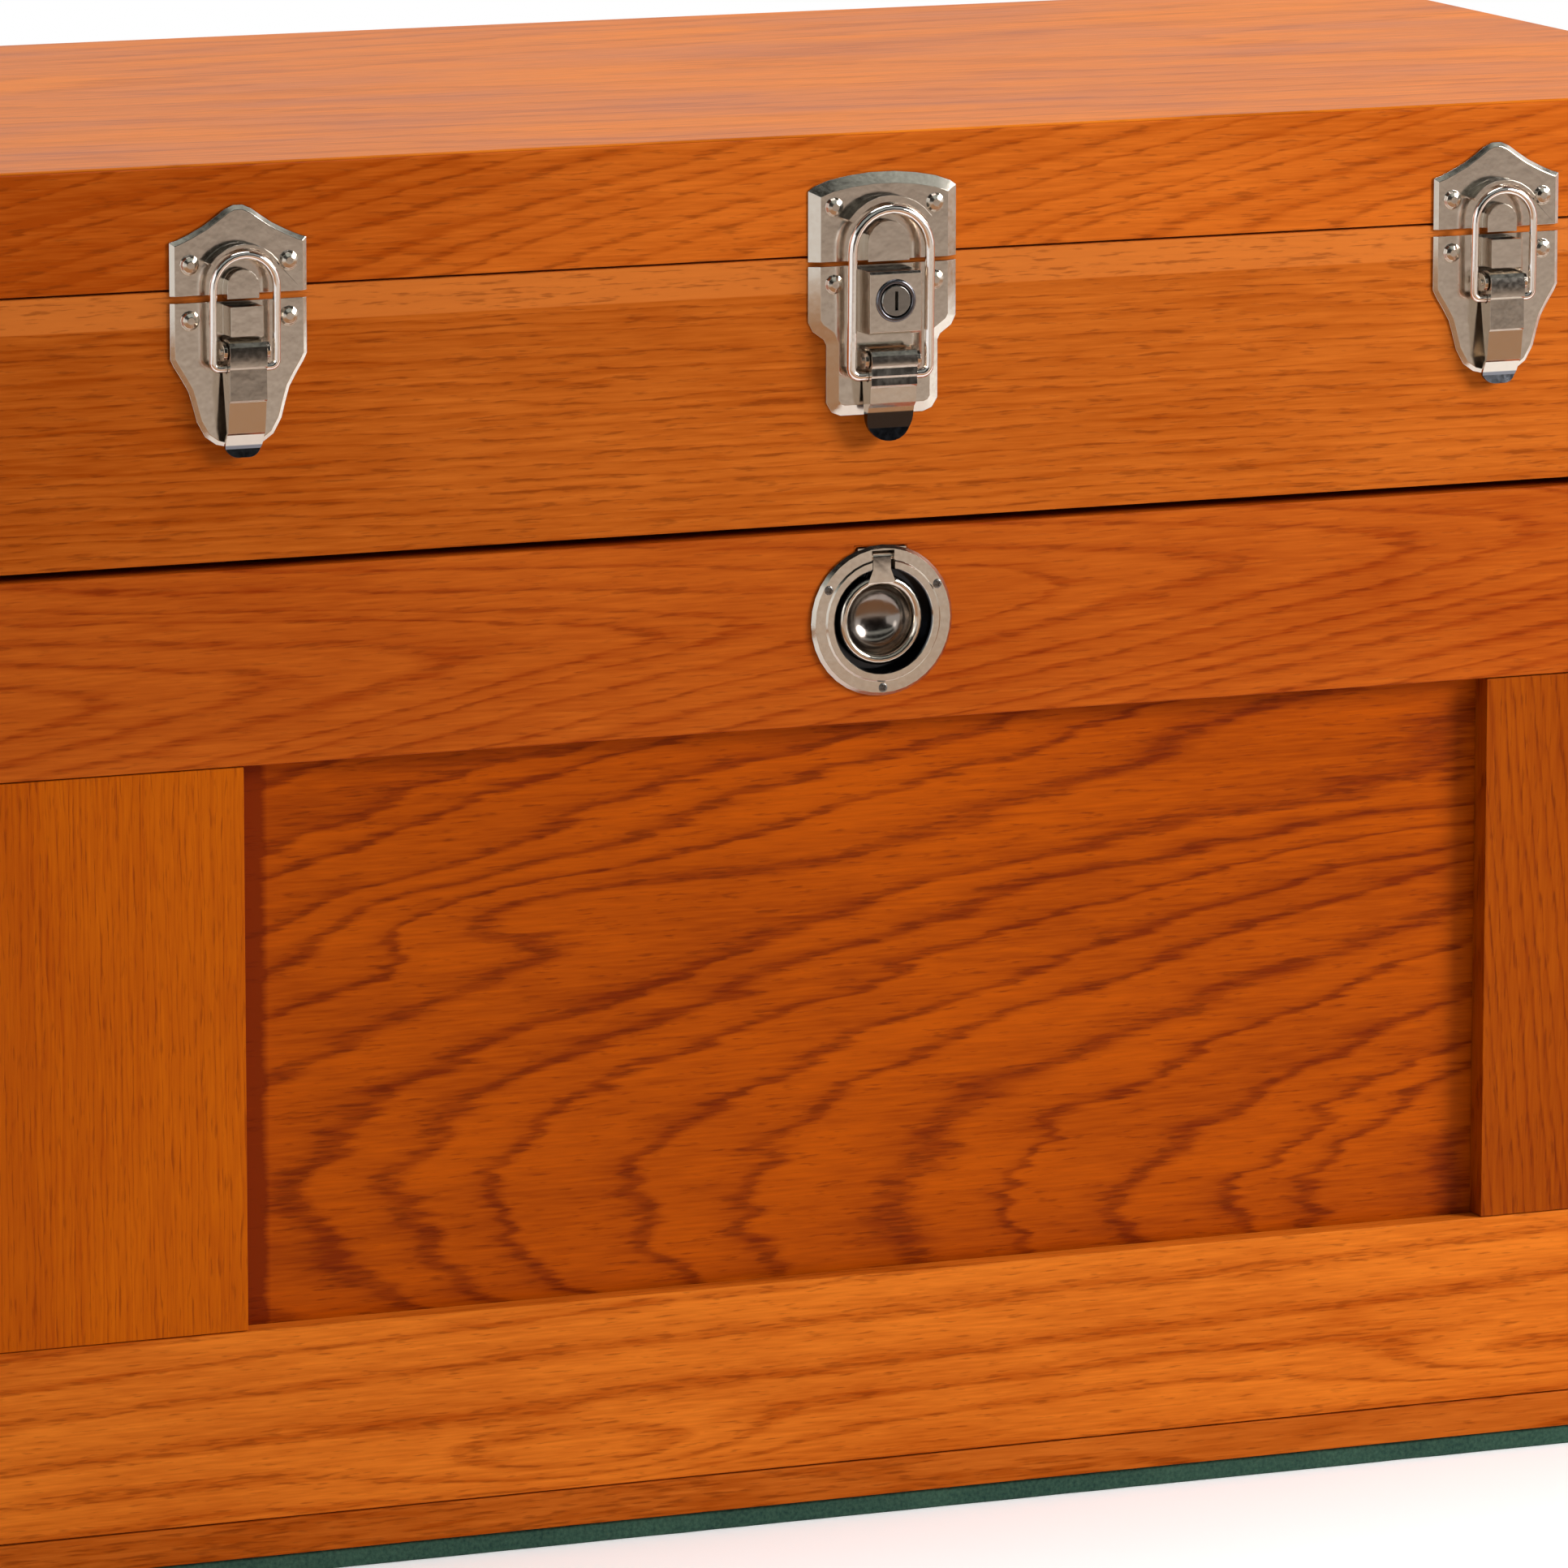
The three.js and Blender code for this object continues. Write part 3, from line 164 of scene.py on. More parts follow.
def lacquered_oak(name, along, across, colours, heart, ring=0.004, taper=0.0, lean=0.0,
                  wander=0.004, kink=0.0004, jag=0.0006, figure=0.5, seed=0.0, cloud=0.9,
                  swells=(), joint=None, painted_shade_end=None, pore_share=0.45, gloss=0.42):
    """Planed oak under a satin lacquer: dark-flecked bands with a soft, even gloss.

    Oak is ring porous: each year starts with a row of open pores, which stain darker than
    the rest. The years are cones round the log's heart, a line that runs along one axis,
    and the colours are those of pale wood, dark wood and pores.

    The heart is given by its offsets across the face and into the board. Ring is a year's
    width, taper and lean are slopes along the board, and wander, kink and jag are how far
    the years stray over a long, a middling and a short stretch. Swells are the places
    (along, across, length, height, push) where a branch pushed the years aside.
    A joint is where a strip of another colour is glued on: its place across the face, the
    colour's share below and above that place, and the colour. A painted shade end is where
    shade is painted onto the board, darkening it: the places along it where the painted
    shade starts and is full, and how dark it gets.
    """
    pale, dark, pore = [linear(code) for code in colours]
    material, tree = start_material(name)
    place = node(tree, "TexCoord").outputs["Object"]
    axes = node(tree, "SeparateXYZ", {0: place}).outputs
    into = ({"X", "Y", "Z"} - {along, across}).pop()
    board = node(tree, "CombineXYZ", {0: axes[along], 1: axes[across], 2: axes[into]})
    shift = (seed, 0.7 * seed, 1.3 * seed)
    board = node(tree, "VectorMath", {0: board, 1: shift}, operation="ADD")

    # Each mark is noise stretched along the grain: its length, its width and its detail.
    # Pores are really 0.3 mm wide and are drawn twice as coarse, so that they show.
    sizes = {
        "drift": (0.2, 0.04, 3.0),
        "bends": (0.06, 0.009, 2.0),
        "teeth": (0.02, 0.0015, 2.0),
        "pores": (0.008, 0.0009, 2.0),
        "fibre": (0.035, 0.0022, 3.0),
        "thread": (0.014, 0.0008, 2.0),
        "patch": (0.11, 0.03, 2.0),
    }
    marks = {}
    for mark, (length, width, detail) in sizes.items():
        stretch = (1 / length, 1 / width, 1 / width)
        scaled = node(tree, "VectorMath", {0: board, 1: stretch}, operation="MULTIPLY")
        marks[mark] = node(tree, "TexNoise", {"Vector": scaled, "Scale": 1.0, "Detail": detail})

    # The distance from the heart is how far the log had grown there
    lift = node(tree, "Math", {0: axes[along], 1: lean, 2: heart[0]}, operation="MULTIPLY_ADD")
    side = node(tree, "Math", {0: axes[across], 1: lift}, operation="SUBTRACT")
    deep = node(tree, "Math", {0: axes[into], 1: heart[1]}, operation="SUBTRACT")
    square = node(tree, "Math", {0: side, 1: side}, operation="MULTIPLY")
    square = node(tree, "Math", {0: deep, 1: deep, 2: square}, operation="MULTIPLY_ADD")
    radius = node(tree, "Math", {0: square}, operation="SQRT")
    growth = node(tree, "Math", {0: axes[along], 1: -taper, 2: radius}, operation="MULTIPLY_ADD")
    for at, up, length, height, push in swells:
        far = node(tree, "Math", {0: axes[along], 1: 1 / length, 2: -at / length},
                   operation="MULTIPLY_ADD")
        high = node(tree, "Math", {0: axes[across], 1: 1 / height, 2: -up / height},
                    operation="MULTIPLY_ADD")
        far = node(tree, "Math", {0: far, 1: far}, operation="MULTIPLY")
        high = node(tree, "Math", {0: high, 1: high, 2: far}, operation="MULTIPLY_ADD")
        bell = node(tree, "Math", {0: 1 / math.e, 1: high}, operation="POWER")
        growth = node(tree, "Math", {0: bell, 1: push, 2: growth}, operation="MULTIPLY_ADD")
    for mark, reach in (("drift", wander), ("bends", 2 * kink)):
        stray = node(tree, "Math", {0: marks[mark], 1: 2 * reach, 2: -reach},
                     operation="MULTIPLY_ADD")
        growth = node(tree, "Math", {0: growth, 1: stray}, operation="ADD")

    # Growth in years, each of its own width, and the place within a year
    teeth = node(tree, "Math", {0: marks["teeth"], 1: 4 * jag / ring, 2: -2 * jag / ring},
                 operation="MULTIPLY_ADD")
    years = node(tree, "Math", {0: growth, 1: 1 / ring, 2: teeth}, operation="MULTIPLY_ADD")
    uneven = node(tree, "TexNoise", {"W": years, "Scale": 0.55, "Detail": 1.0}, noise_dimensions="1D")
    years = node(tree, "Math", {0: uneven, 1: 1.5, 2: years}, operation="MULTIPLY_ADD")
    year = node(tree, "Math", {0: years}, operation="FRACT")

    # A year starts with dark, open early wood and closes with pale, dense late wood
    band = node(tree, "ValToRGB", {0: year})
    ramp = band.color_ramp
    ramp.elements[0].color = (0.3, 0.3, 0.3, 1)
    ramp.elements[1].color = (0.45, 0.45, 0.45, 1)
    for at, level in ((0.06, 0.12), (0.15, 0.15), (0.25, 0.6), (0.5, 0.9), (0.9, 1.0)):
        ramp.elements.new(at).color = (level, level, level, 1)
    scarce = node(tree, "MapRange", {0: band, 1: 0.0, 2: 0.8, 3: 0.46, 4: 0.6})
    pores = node(tree, "Math", {0: marks["pores"], 1: scarce}, operation="SUBTRACT")
    pores = node(tree, "Math", {0: pores, 1: 7.0}, operation="MULTIPLY", use_clamp=True)

    # The tone runs from dark to pale wood. The marks add to it, and half of their reach
    # comes off again, so that a stronger mark leaves the board's mean colour alone.
    tone = node(tree, "Math", {0: band, 1: figure, 2: 0.62 - 0.76 * figure}, operation="MULTIPLY_ADD")
    for mark, share in (("fibre", 0.7), ("thread", 0.9), ("patch", cloud)):
        tone = node(tree, "Math", {0: marks[mark], 1: share, 2: tone}, operation="MULTIPLY_ADD")
    if painted_shade_end:
        start, full, depth = painted_shade_end
        shade = node(tree, "MapRange", {0: axes[along], 1: start, 2: full, 3: 0.0, 4: depth})
        tone = node(tree, "Math", {0: tone, 1: shade}, operation="SUBTRACT")
    tone = node(tree, "Math", {0: tone, 1: 0.8 + 0.5 * cloud}, operation="SUBTRACT", use_clamp=True)
    wood = node(tree, "Mix", {0: tone, 6: dark, 7: pale}, data_type="RGBA")
    if joint:
        seam, below, above, colour = joint
        strip = node(tree, "MapRange", {
            0: axes[across], 1: seam, 2: seam + 0.0004, 3: below, 4: above})
        wood = node(tree, "Mix", {0: strip, 6: wood.outputs[2], 7: linear(colour)}, data_type="RGBA")
    stained = node(tree, "Math", {0: pores, 1: pore_share}, operation="MULTIPLY")
    wood = node(tree, "Mix", {0: stained, 6: wood.outputs[2], 7: pore}, data_type="RGBA")

    # The pores sink the lacquer a little. Its mirror share is a tenth of a usual lacquer's,
    # because the photograph shows almost no reflection in the wood.
    rough = node(tree, "MapRange", {0: marks["patch"], 1: 0.3, 2: 0.7, 3: gloss - 0.03, 4: gloss + 0.04})
    sunk = node(tree, "Math", {0: pores, 1: -1.0}, operation="MULTIPLY")
    relief = node(tree, "Bump", {"Height": sunk, "Strength": 0.6 * pore_share, "Distance": 0.0002})
    shader = node(tree, "BsdfPrincipled", {
        "Base Color": wood.outputs[2], "Roughness": rough, "Normal": relief,
        "Specular IOR Level": 0.05,
    })
    node(tree, "OutputMaterial", {0: shader})
    return material


def dress(names, material):
    """Gives CAD nodes a material."""
    for name in names:
        nodes[name].material_slots[0].material = material


def ease(names, radius, corner=math.radians(32)):
    """Takes the sharp arris off CAD nodes, as sandpaper or tumbling does."""
    for name in names:
        mesh = nodes[name].data
        for leftover in ("custom_normal", "sharp_edge"):
            if leftover in mesh.attributes:
                mesh.attributes.remove(mesh.attributes[leftover])
        mesh.shade_smooth()
        weld = nodes[name].modifiers.new("weld", "WELD")
        weld.merge_threshold = 1e-5
        round_over = nodes[name].modifiers.new("arris", "BEVEL")
        round_over.width = radius
        round_over.segments = 2
        round_over.limit_method = "ANGLE"
        round_over.angle_limit = corner
        round_over.harden_normals = True


amber = ("#CE6A1C", "#A04200", "#6E2A00")
case_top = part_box("apron_board")[1].z
pale_strip = 0.0102
case_grain = {
    "bottom_board": ("X", "Y", {"heart": (0.6, 0.05), "ring": 0.003, "seed": 3.1}),
    "left_side_board": ("Y", "Z", {"heart": (0.2, -0.25), "taper": 0.05, "seed": 5.3}),
    "right_side_board": ("Y", "Z", {"heart": (0.17, 0.25), "taper": -0.06, "seed": 7.7}),
    "back_board": ("X", "Z", {"heart": (0.2, 0.11), "ring": 0.005, "taper": 0.09, "seed": 9.2}),
    # The apron's left end is painted darker: painted shade where the light falls off to the left
    "apron_board": ("X", "Z", {
        "heart": (0.42, -0.10), "ring": 0.0032, "taper": 0.01, "figure": 0.3, "seed": 10.1,
        "joint": (case_top - pale_strip, 0.0, 0.7, "#DA782E"), "painted_shade_end": (-0.06, -0.24, 0.25)}),
}
for name, (along, across, cut) in case_grain.items():
    dress([name], lacquered_oak("satin_oak_" + name, along, across, amber, **cut))
ease(case_grain, 0.0004)


# Till floor and dividers
# The boards inside are the same oak, let into housings in the sides. They are planed and
# left without stain, so they are pale.

straw = ("#DDA96E", "#BC8449", "#8C5A2C")
bare_oak = lacquered_oak("bare_oak_boards", "X", "Y", straw, heart=(0.05, 0.5), gloss=0.55)
inside_boards = ["till_floor"]
inside_boards += [level + "_drawer_divider" for level in ("upper", "middle", "lower")]
dress(inside_boards, bare_oak)
ease(inside_boards, 0.0003)


# Drawers
# Each drawer has a stained oak front, a box of bare oak glued at its corners and a bottom
# let into grooves. The knobs are turned brass, plated with nickel.


def plated_nickel(name, tint, rough, bands=(), centre=None):
    """Bright nickel plate over stamped steel, with the faint waviness of a buffing wheel.

    The waves are 4 mm long and bend what it mirrors. The haze of fine scratches is drawn
    1.5 mm across, much coarser than it is, so that it shows. Bands paint parts of the plate
    darker, as painted shade and painted dark reflection. The tint holds up to the first band,
    and each band is a height, and the colour from there up. With a centre height, it is a
    distance from the line that runs from front to back at that height.
    """
    blur = 0.00015
    material, tree = start_material(name)
    place = node(tree, "TexCoord").outputs["Object"]
    colour = linear(tint)
    if bands:
        axes = node(tree, "SeparateXYZ", {0: place}).outputs
        measure = axes["Z"]
        if centre:
            up = node(tree, "Math", {0: axes["Z"], 1: centre}, operation="SUBTRACT")
            flat = node(tree, "CombineXYZ", {0: axes["X"], 1: up})
            measure = node(tree, "VectorMath", {0: flat}, operation="LENGTH").outputs["Value"]
        for edge, code in bands:
            past = node(tree, "MapRange", {0: measure, 1: edge - blur, 2: edge + blur})
            mixed = node(tree, "Mix", {0: past, 6: colour, 7: linear(code)}, data_type="RGBA")
            colour = mixed.outputs[2]
    wave = node(tree, "TexNoise", {"Vector": place, "Scale": 1 / 0.004, "Detail": 2.0})
    haze = node(tree, "TexNoise", {"Vector": place, "Scale": 1 / 0.0015, "Detail": 4.0})
    polish = node(tree, "MapRange", {0: haze, 1: 0.3, 2: 0.7, 3: rough * 0.8, 4: rough * 1.3})
    relief = node(tree, "Bump", {"Height": wave, "Strength": 0.15, "Distance": 0.0003})
    shader = node(tree, "BsdfPrincipled", {
        "Base Color": colour, "Metallic": 1.0, "Roughness": polish, "Normal": relief,
    })
    node(tree, "OutputMaterial", {0: shader})
    return material


warm_nickel = "#CDC3B6"
bright_nickel = plated_nickel("bright_nickel_plate", warm_nickel, 0.16)
lining_felt = wool_felt("wool_felt_lining", "#1A4A43", "#35796C")


def line_with_felt(name, body, low, high):
    """A felt lining laid on a board, a little smaller than the room that it lies in."""
    lining = felt_sheet(name, Vector(low), Vector(high), 0.0006, lining_felt)
    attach(lining, body)


felt_gap = 0.0015
felt_thickness = 0.0012
drawer_wall = 0.009
for level, seed in (("upper", 13.0), ("middle", 17.0), ("lower", 19.0)):
    front = level + "_drawer_front"
    low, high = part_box(front)
    middle = (low.z + high.z) / 2
    oak = lacquered_oak("satin_oak_" + front, "X", "Z", amber, heart=(middle, -0.09), ring=0.0035,
                        taper=0.05, seed=seed)
    dress([front], oak)
    box = level + "_drawer_box"
    floor = level + "_drawer_bottom"
    dress([box, floor], bare_oak)
    ease([front, box], 0.0005)
    knobs = [level + "_drawer_left_knob", level + "_drawer_right_knob"]
    dress(knobs, bright_nickel)
    ease(knobs, 0.0003, corner=math.radians(50))
    low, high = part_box(box)
    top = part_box(floor)[1].z
    line_with_felt(
        level + "_drawer_felt", level + "_drawer",
        (low.x + drawer_wall + felt_gap, low.y + felt_gap, top),
        (high.x - drawer_wall - felt_gap, high.y - drawer_wall - felt_gap, top + felt_thickness))

# The till and the well are lined with the same felt
low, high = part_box("till_floor")
housing = 0.004
line_with_felt(
    "till_felt", "case",
    (low.x + housing + felt_gap, low.y + housing + felt_gap, high.z),
    (high.x - housing - felt_gap, high.y - housing - felt_gap, high.z + felt_thickness))
well_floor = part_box("bottom_board")[1].z
side_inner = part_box("right_side_board")[0].x
back_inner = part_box("back_board")[0].y
panel_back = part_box("panel_bottom_rail")[1].y
line_with_felt(
    "well_felt", "case",
    (-side_inner + felt_gap, panel_back + felt_gap, well_floor),
    (side_inner - felt_gap, back_inner - felt_gap, well_floor + felt_thickness))


# Lid
# Five oak boards: the top is mitred into the four edges, which are finger jointed at the
# corners. The top is one wide flat-sawn glue-up, so its pattern is broad and faint.

lid_amber = ("#D86C1A", "#A84400", "#783000")
# The lid top's amber is paler than its edges': painted light and sheen on the top of the same wood
sheen_lit_top_amber = ("#E27C1C", "#B05400", "#804000")
lid_grain = {
    "lid_top_board": ("X", "Y", {
        "heart": (0.03, 0.35), "ring": 0.016, "taper": 0.1, "wander": 0.009, "kink": 0.004,
        "figure": 0.32, "cloud": 1.3, "seed": 21.0, "pore_share": 0.18}),
    # The lid front's left end is painted darker: painted shade where the light falls off to the left
    "lid_front_board": ("X", "Z", {
        "heart": (0.366, -0.148), "ring": 0.0058, "taper": 0.2, "lean": 0.02, "figure": 0.4,
        "seed": 22.2, "painted_shade_end": (-0.06, -0.24, 0.52)}),
    "lid_back_board": ("X", "Z", {"heart": (0.44, 0.2), "taper": 0.02, "seed": 27.1}),
    "lid_left_board": ("Y", "Z", {"heart": (0.46, -0.2), "taper": 0.02, "seed": 29.3}),
    "lid_right_board": ("Y", "Z", {"heart": (0.47, 0.2), "taper": 0.02, "seed": 31.9}),
}
for name, (along, across, cut) in lid_grain.items():
    palette = sheen_lit_top_amber if name == "lid_top_board" else lid_amber
    dress([name], lacquered_oak("satin_oak_" + name, along, across, palette, **cut))
ease(lid_grain, 0.0003)


# Front panel
# A frame of two full-length rails with stiles between them, grooved for a flat panel.
# The panel is flat-sawn oak veneer, redder than the frame, with tall arches of grain.

top_amber = ("#C45E14", "#943300", "#6A2200")
bottom_amber = ("#E47A20", "#AA4400", "#742A00")
left_amber = ("#C86000", "#A44000", "#803000")
right_amber = ("#A84C00", "#843000", "#642000")
frame_grain = {
    "panel_top_rail": ("X", "Z", top_amber, {
        "heart": (0.268, -0.150), "ring": 0.0056, "taper": -0.11, "lean": 0.05, "figure": 0.42,
        "seed": 33.0, "pore_share": 0.35}),
    "panel_bottom_rail": ("X", "Z", bottom_amber, {
        "heart": (-0.03, -0.125), "ring": 0.01, "taper": 0.03, "figure": 0.42, "wander": 0.005,
        "swells": [(-0.091, 0.027, 0.05, 0.008, 0.02), (0.22, 0.03, 0.06, 0.009, 0.02)],
        "seed": 37.0}),
    "panel_left_stile": ("Z", "X", left_amber, {
        "heart": (-0.6, -0.15), "ring": 0.0018, "figure": 0.35, "seed": 41.0,
        "joint": (-0.257, 0.3, 0.0, "#A84400")}),
    "panel_right_stile": ("Z", "X", right_amber, {
        "heart": (0.25, -0.146), "ring": 0.0034, "taper": 0.1, "figure": 0.45, "seed": 43.0}),
}
for name, (along, across, palette, cut) in frame_grain.items():
    dress([name], lacquered_oak("satin_oak_" + name, along, across, palette, **cut))
ease(frame_grain, 0.0006)
red_stain = ("#BC5200", "#7C2900", "#5E1C00")
# The veneer's left edge beside the stile is painted dark: painted shade in that corner
veneer = lacquered_oak(
    "satin_oak_veneer", "X", "Z", red_stain, heart=(0.094, -0.108), ring=0.0118, taper=0.32,
    lean=-0.09, wander=0.006, kink=0.0024, jag=0.001, figure=0.62, seed=47.0,
    swells=[(-0.104, 0.186, 0.055, 0.009, -0.016), (0.25, 0.2, 0.14, 0.018, 0.03)],
    painted_shade_end=(-0.1845, -0.1875, 0.9))
dress(["panel_field"], veneer)


# Rear hinges
# Two rolled steel butt hinges, their leaves let into the case and the lid and held by
# three countersunk cross head screws each.

brushed_steel = plated_nickel("satin_steel_hinge", "#9B9A97", 0.32)
hinge_parts = ("lower_leaf", "upper_leaf", "pin")
hinges = [side + "_hinge_" + part for side in ("left", "right") for part in hinge_parts]
dress(hinges, brushed_steel)
ease(hinges, 0.0002, corner=math.radians(40))


def cross_screw(name, body, seat, out, radius, rise, material):
    """A countersunk screw's head: a low dome with a cross recess, its rim level with the seat."""
    arm = 0.6 * radius
    half = 0.15 * radius
    cross = []
    for turn in range(4):
        spin = Matrix.Rotation(-math.pi / 2 * turn, 2)
        cross += [spin @ Vector(corner) for corner in ((half, arm), (half, half), (arm, half))]
    angles = [math.atan2(y, x) for x, y in cross]
    recess_floor = 0.00003
    mesh = bmesh.new()
    rings = [[mesh.verts.new((x, y, height)) for x, y in cross] for height in (recess_floor, rise)]
    for share, height in ((0.72, 0.85), (0.93, 0.4), (1.0, 0.0)):
        reach = share * radius
        rings.append([mesh.verts.new((reach * math.cos(angle), reach * math.sin(angle), height * rise))
                      for angle in angles])
    mesh.faces.new(rings[0])
    for inner, outer in zip(rings, rings[1:]):
        for k in range(len(cross)):
            mesh.faces.new([inner[k - 1], inner[k], outer[k], outer[k - 1]])
    mesh.faces.new(rings[-1][::-1])
    bmesh.ops.recalc_face_normals(mesh, faces=mesh.faces)
    head = add_piece(name, mesh, material)
    aim = Vector(out).to_track_quat("Z", "Y").to_matrix().to_4x4()
    tightened = Matrix.Rotation(math.radians(25), 4, "Z")
    head.data.transform(Matrix.Translation(seat) @ aim @ tightened)
    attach(head, body)


leaf_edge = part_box("left_hinge_lower_leaf")[0].y
screw_line = leaf_edge + 0.005
lid_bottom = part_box("lid_front_board")[0].z
leaves = (("lower", "case", case_top, (0, 0, 1)), ("upper", "lid", lid_bottom, (0, 0, -1)))
for side, middle in (("left", -0.2), ("right", 0.2)):
    for number, shift in enumerate((-0.017, 0.0, 0.017), 1):
        for leaf, body, height, out in leaves:
            cross_screw("%s_hinge_%s_screw_%d" % (side, leaf, number), body,
                        (middle + shift, screw_line, height), out, 0.0022, 0.0002, brushed_steel)


# Draw latches
# Stamped steel plates with riveted parts, a folded lever and a wire bail, all nickel
# plated. The middle one carries a die-cast lock with a turned key cylinder.

polished_wire = plated_nickel("polished_nickel_wire", "#EDE6E0", 0.11)
for side in ("left", "middle", "right"):
    plates = [side + "_latch_catch", side + "_latch_base"]
    lever = side + "_latch_lever"
    bail = side + "_latch_bail"
    dress(plates, bright_nickel)
    dress([bail], polished_wire)
    ease(plates + [lever], 0.00015, corner=math.radians(20))
    ease([bail], 0.0001, corner=math.radians(60))

    # The lever's tip is painted dark: a painted dark reflection on its downturned tab
    painted_tip_length, tint = (0.0085, "#46484E") if side == "middle" else (0.0035, "#76787E")
    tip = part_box(lever)[0].z
    painted_dark_tip = [(tip + painted_tip_length, warm_nickel)]
    dress([lever], plated_nickel("nickel_with_painted_dark_tip_" + side, tint, 0.16, painted_dark_tip))
# The lock plug is painted dark grey: painted shade, as if it sat deep in a recess
dress(["lock_plug"], plated_nickel("nickel_plug_painted_shade", "#8C8882", 0.2))
ease(["lock_plug"], 0.0001, corner=math.radians(35))

# A rounded collar stands round the plug. Its profile is in radii and heights off the block.
collar_profile = [(0.0048, 0.0), (0.0048, 0.0004), (0.0052, 0.00065),
                  (0.0057, 0.0006), (0.0061, 0.0003), (0.0062, 0.0)]
plug_low, plug_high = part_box("lock_plug")
plug_z = (plug_low.z + plug_high.z) / 2
block_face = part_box("middle_latch_base")[0].y
turns = 64
collar_mesh = bmesh.new()
rounds = []
for step in range(turns):
    angle = 2 * math.pi * step / turns
    cos, sin = math.cos(angle), math.sin(angle)
    rounds.append([collar_mesh.verts.new((r * cos, block_face - rise, plug_z + r * sin))
                   for r, rise in collar_profile])
for one, two in zip(rounds, rounds[1:] + rounds[:1]):
    for k in range(len(collar_profile)):
        collar_mesh.faces.new([one[k - 1], one[k], two[k], two[k - 1]])
bmesh.ops.recalc_face_normals(collar_mesh, faces=collar_mesh.faces)
# The collar's nickel is painted dark: painted shade, as in a hollow round the plug
painted_shade_nickel = plated_nickel("nickel_collar_painted_shade", "#68666A", 0.2)
lock_collar = add_piece("lock_collar", collar_mesh, painted_shade_nickel)
lock_collar.data.shade_smooth()
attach(lock_collar, "case")


# Ring pull
# A flush pull pressed from brass, nickel plated: a dished cup with a raised collar, and
# a ring that lies in the groove round the dish until a finger lifts it.

cup_low, cup_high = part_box("ring_pull_cup")
pull_z = (cup_low.z + cup_high.z) / 2
dress(["ring_pull_ring"], bright_nickel)
# The dish and the groove round it are painted darker than the flange: painted shade in the hollows
painted_groove_shade_bands = [(0.0094, warm_nickel), (0.0107, "#34363A"), (0.0154, warm_nickel)]
dress(["ring_pull_cup"], plated_nickel("nickel_with_painted_groove_shade", "#8A8078", 0.16, painted_groove_shade_bands, pull_z))
ease(["ring_pull_cup"], 0.00015, corner=math.radians(35))
ease(["ring_pull_ring"], 0.0001, corner=math.radians(60))

# Three screws hold the flange; their plate is darker and duller than the flange's
flange = cup_low.y + 0.0005
screw_circle = 0.0195
dark_screw_steel = plated_nickel("dark_steel_screw", "#6C6864", 0.35)
for number, angle in enumerate((30, 150, 270), 1):
    across = screw_circle * math.cos(math.radians(angle))
    up = screw_circle * math.sin(math.radians(angle))
    cross_screw("ring_pull_screw_%d" % number, "front_panel", (across, flange, pull_z + up),
                (0, -1, 0), 0.0014, 0.0003, dark_screw_steel)


# Side handles
# A drop bail of round rod with a swelled grip, hung in the two eyes of a cast plate. Four
# screws hold the plate.

side_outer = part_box("right_side_board")[1].x
plate_face = 0.0021
for side, sign in (("left", -1), ("right", 1)):
    plate = side + "_handle_plate"
    bail = side + "_handle_bail"
    dress([plate, bail], bright_nickel)
    ease([plate], 0.0003, corner=math.radians(35))
    ease([bail], 0.0001, corner=math.radians(60))
    plate_low, plate_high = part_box(plate)
    plate_z = (plate_low.z + plate_high.z) / 2
    face = sign * (side_outer + plate_face)
    spots = [(y, plate_z + z) for y in (-0.022, 0.022) for z in (-0.007, 0.007)]
    for number, (y, z) in enumerate(spots, 1):
        cross_screw("%s_handle_screw_%d" % (side, number), "case", (face, y, z), (sign, 0, 0),
                    0.003, 0.0005, bright_nickel)


# Studio
# A white table that fades into a white surround, a soft lamp to the right of the camera,
# one overhead and a weak one to the left. The room behind the camera is dim, and only
# shiny surfaces mirror it. The camera stands where the photograph's stood.

# White laminate: plain and matt, lit a little from within where the camera or a mirror
# sees it, so that it comes out as white as the surround and keeps the chest's shadow
white_table, tree = start_material("white_laminate")
place = node(tree, "TexCoord").outputs["Object"]
distance = node(tree, "VectorMath", {0: place}, operation="LENGTH").outputs["Value"]
fade = node(tree, "MapRange", {0: distance, 1: 0.7, 2: 2.2, 3: 0.0, 4: 1.0})
matt = node(tree, "BsdfDiffuse", {"Color": linear("#FAFAFA")})
ray = node(tree, "LightPath").outputs
seen = node(tree, "Math", {0: ray["Is Camera Ray"], 1: ray["Is Glossy Ray"]}, operation="MAXIMUM")
seen = node(tree, "Math", {0: seen, 1: ray["Is Transmission Ray"]}, operation="MAXIMUM")
glow = node(tree, "Math", {0: seen, 1: 0.26}, operation="MULTIPLY")
glow = node(tree, "Emission", {"Color": (1, 1, 1, 1), "Strength": glow})
matt = node(tree, "AddShader", {0: matt, 1: glow})
clear = node(tree, "BsdfTransparent")
surface = node(tree, "MixShader", {0: fade, 1: matt, 2: clear})
node(tree, "OutputMaterial", {0: surface})
table_mesh = bmesh.new()
bmesh.ops.create_circle(table_mesh, cap_ends=True, segments=64, radius=4.0)
table_top = add_piece("table_top", table_mesh, white_table)

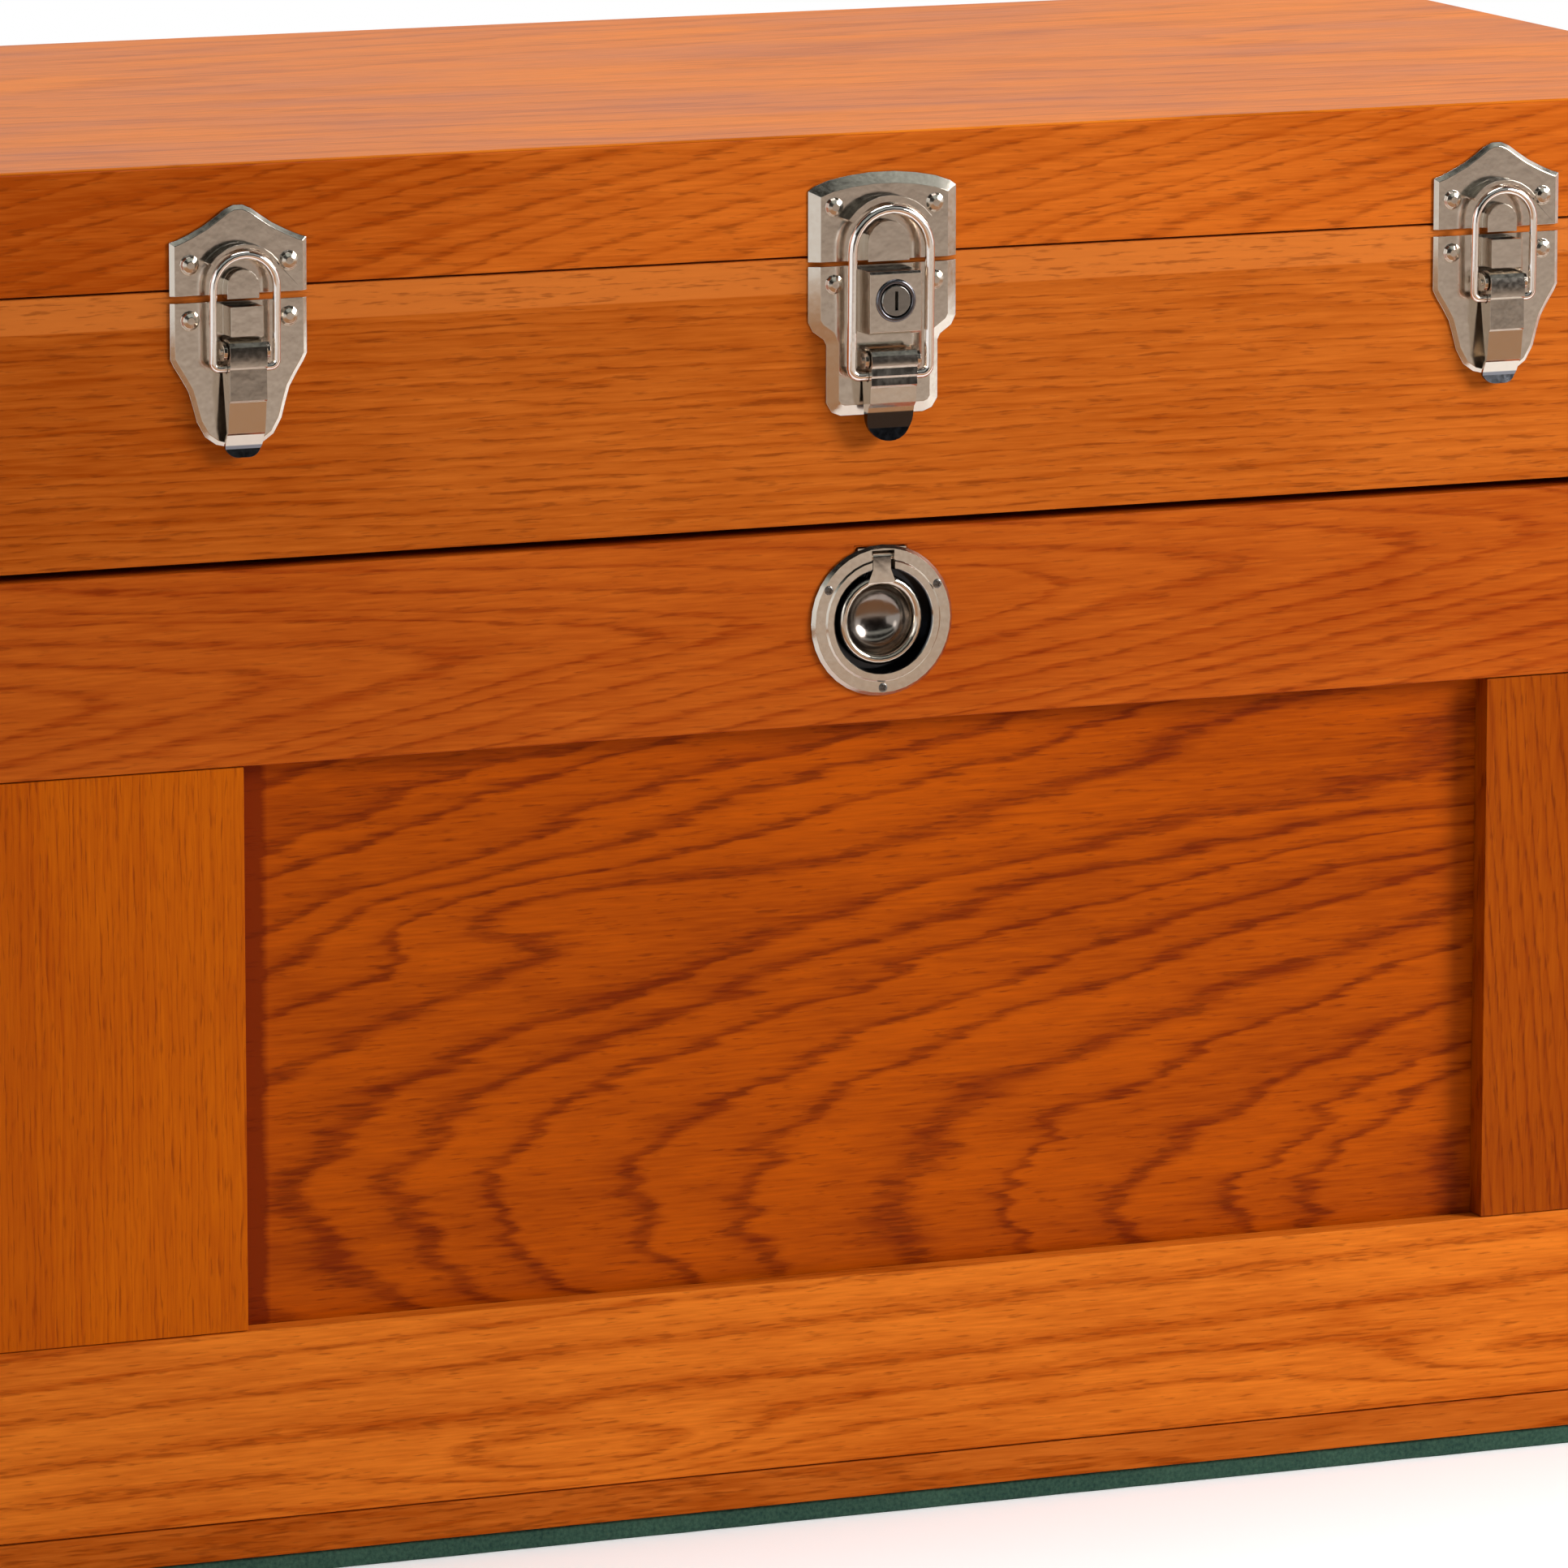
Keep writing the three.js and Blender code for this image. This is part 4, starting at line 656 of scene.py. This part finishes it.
# Dim studio walls: they glow by themselves and only mirrors see them, with soft folds painted
# into their glow. By height they run from a warm glow at the table's edge to dark, with one
# bright slit, which give the nickel its streaks.
dim_walls, tree = start_material("dim_studio_walls")
place = node(tree, "TexCoord").outputs["Object"]
folds = node(tree, "TexNoise", {"Vector": place, "Scale": 0.8, "Detail": 2.0})
folds = node(tree, "MapRange", {0: folds, 1: 0.3, 2: 0.7, 3: 0.85, 4: 1.15})
axes = node(tree, "SeparateXYZ", {0: place}).outputs
away = node(tree, "Math", {0: axes["Z"], 1: 0.16}, operation="MULTIPLY")
away = node(tree, "Math", {0: axes["Y"], 1: -0.08, 2: away}, operation="MULTIPLY_ADD")
walls = node(tree, "ValToRGB", {0: away})
ramp = walls.color_ramp
ramp.elements[0].color = linear("#B07A50")
ramp.elements[1].position = 0.885
ramp.elements[1].color = linear("#1A1816")
for at, code in ((0.08, "#BF9878"), (0.15, "#EEE4DA"), (0.22, "#C0AFA4"), (0.35, "#94867A"),
                 (0.41, "#2E2A28"), (0.81, "#1A1816"), (0.835, "#D8E0DC"), (0.86, "#D8E0DC")):
    ramp.elements.new(at).color = linear(code)
matt = node(tree, "Emission", {"Color": walls, "Strength": folds})
node(tree, "OutputMaterial", {0: matt})

# The walls' bends as left end, right end, depth and height
bends = [(-1.0, 3.4, -0.4, 0.004), (-1.5, 4.2, -4.6, 0.004), (-1.8, 4.5, -4.6, 1.2),
         (-5, 5, -4.6, 2.9), (-5, 5, -3.6, 3.9), (-5, 5, 1.0, 3.9)]
room_mesh = bmesh.new()
left_ends = [room_mesh.verts.new((left, y, z)) for left, right, y, z in bends]
right_ends = [room_mesh.verts.new((right, y, z)) for left, right, y, z in bends]
for k in range(len(bends) - 1):
    room_mesh.faces.new([left_ends[k], right_ends[k], right_ends[k + 1], left_ends[k + 1]])
dark_room = add_piece("dark_room", room_mesh, dim_walls)
dark_room.visible_camera = False
dark_room.visible_diffuse = False
dark_room.visible_shadow = False
dark_room.visible_transmission = False

surround = bpy.data.worlds.new("white_surround")
bpy.context.scene.world = surround
surround.use_nodes = True
tree = surround.node_tree
tree.nodes.clear()
ray = node(tree, "LightPath").outputs
seen = node(tree, "Math", {0: ray["Is Camera Ray"], 1: ray["Is Glossy Ray"]}, operation="MAXIMUM")
seen = node(tree, "Math", {0: seen, 1: ray["Is Transmission Ray"]}, operation="MAXIMUM")
lighting = node(tree, "Background", {"Color": (1, 1, 1, 1), "Strength": 0.22})
backdrop = node(tree, "Background", {"Color": (1, 1, 1, 1), "Strength": 1.0})
mixed = node(tree, "MixShader", {0: seen, 1: lighting, 2: backdrop})
node(tree, "OutputWorld", {0: mixed})


def soft_lamp(name, place, target, size, power):
    """A round soft box that points at a target and stays out of the picture."""
    lamp = bpy.data.lights.new(name, "AREA")
    lamp.shape = "DISK"
    lamp.size = size
    lamp.energy = power
    holder = bpy.data.objects.new(name, lamp)
    bpy.context.scene.collection.objects.link(holder)
    holder.location = place
    holder.rotation_euler = (Vector(target) - Vector(place)).to_track_quat("-Z", "Y").to_euler()
    holder.visible_camera = False


chest_middle = (0, 0, 0.2)
soft_lamp("key_lamp", (1.3, -1.15, 0.9), chest_middle, 0.7, 26)
soft_lamp("fill_lamp", (-2.2, -1.9, 1.0), chest_middle, 0.8, 3)
soft_lamp("top_lamp", (0.2, 0.4, 2.8), chest_middle, 1.6, 40)

# The camera was fitted to the chest's edges in the photograph
camera_data = bpy.data.cameras.new("camera")
camera = bpy.data.objects.new("camera", camera_data)
bpy.context.scene.collection.objects.link(camera)
bpy.context.scene.camera = camera
camera.location = (-1.1657, -2.8895, 0.7521)
camera.rotation_euler = (math.radians(90 - 9.789), 0, math.radians(-22.38))
camera_data.sensor_width = 36
camera_data.lens = 240.7
camera_data.shift_x = 0.0207
camera_data.shift_y = -0.0503
camera_data.clip_end = 60
bpy.context.scene.view_settings.view_transform = "Standard"
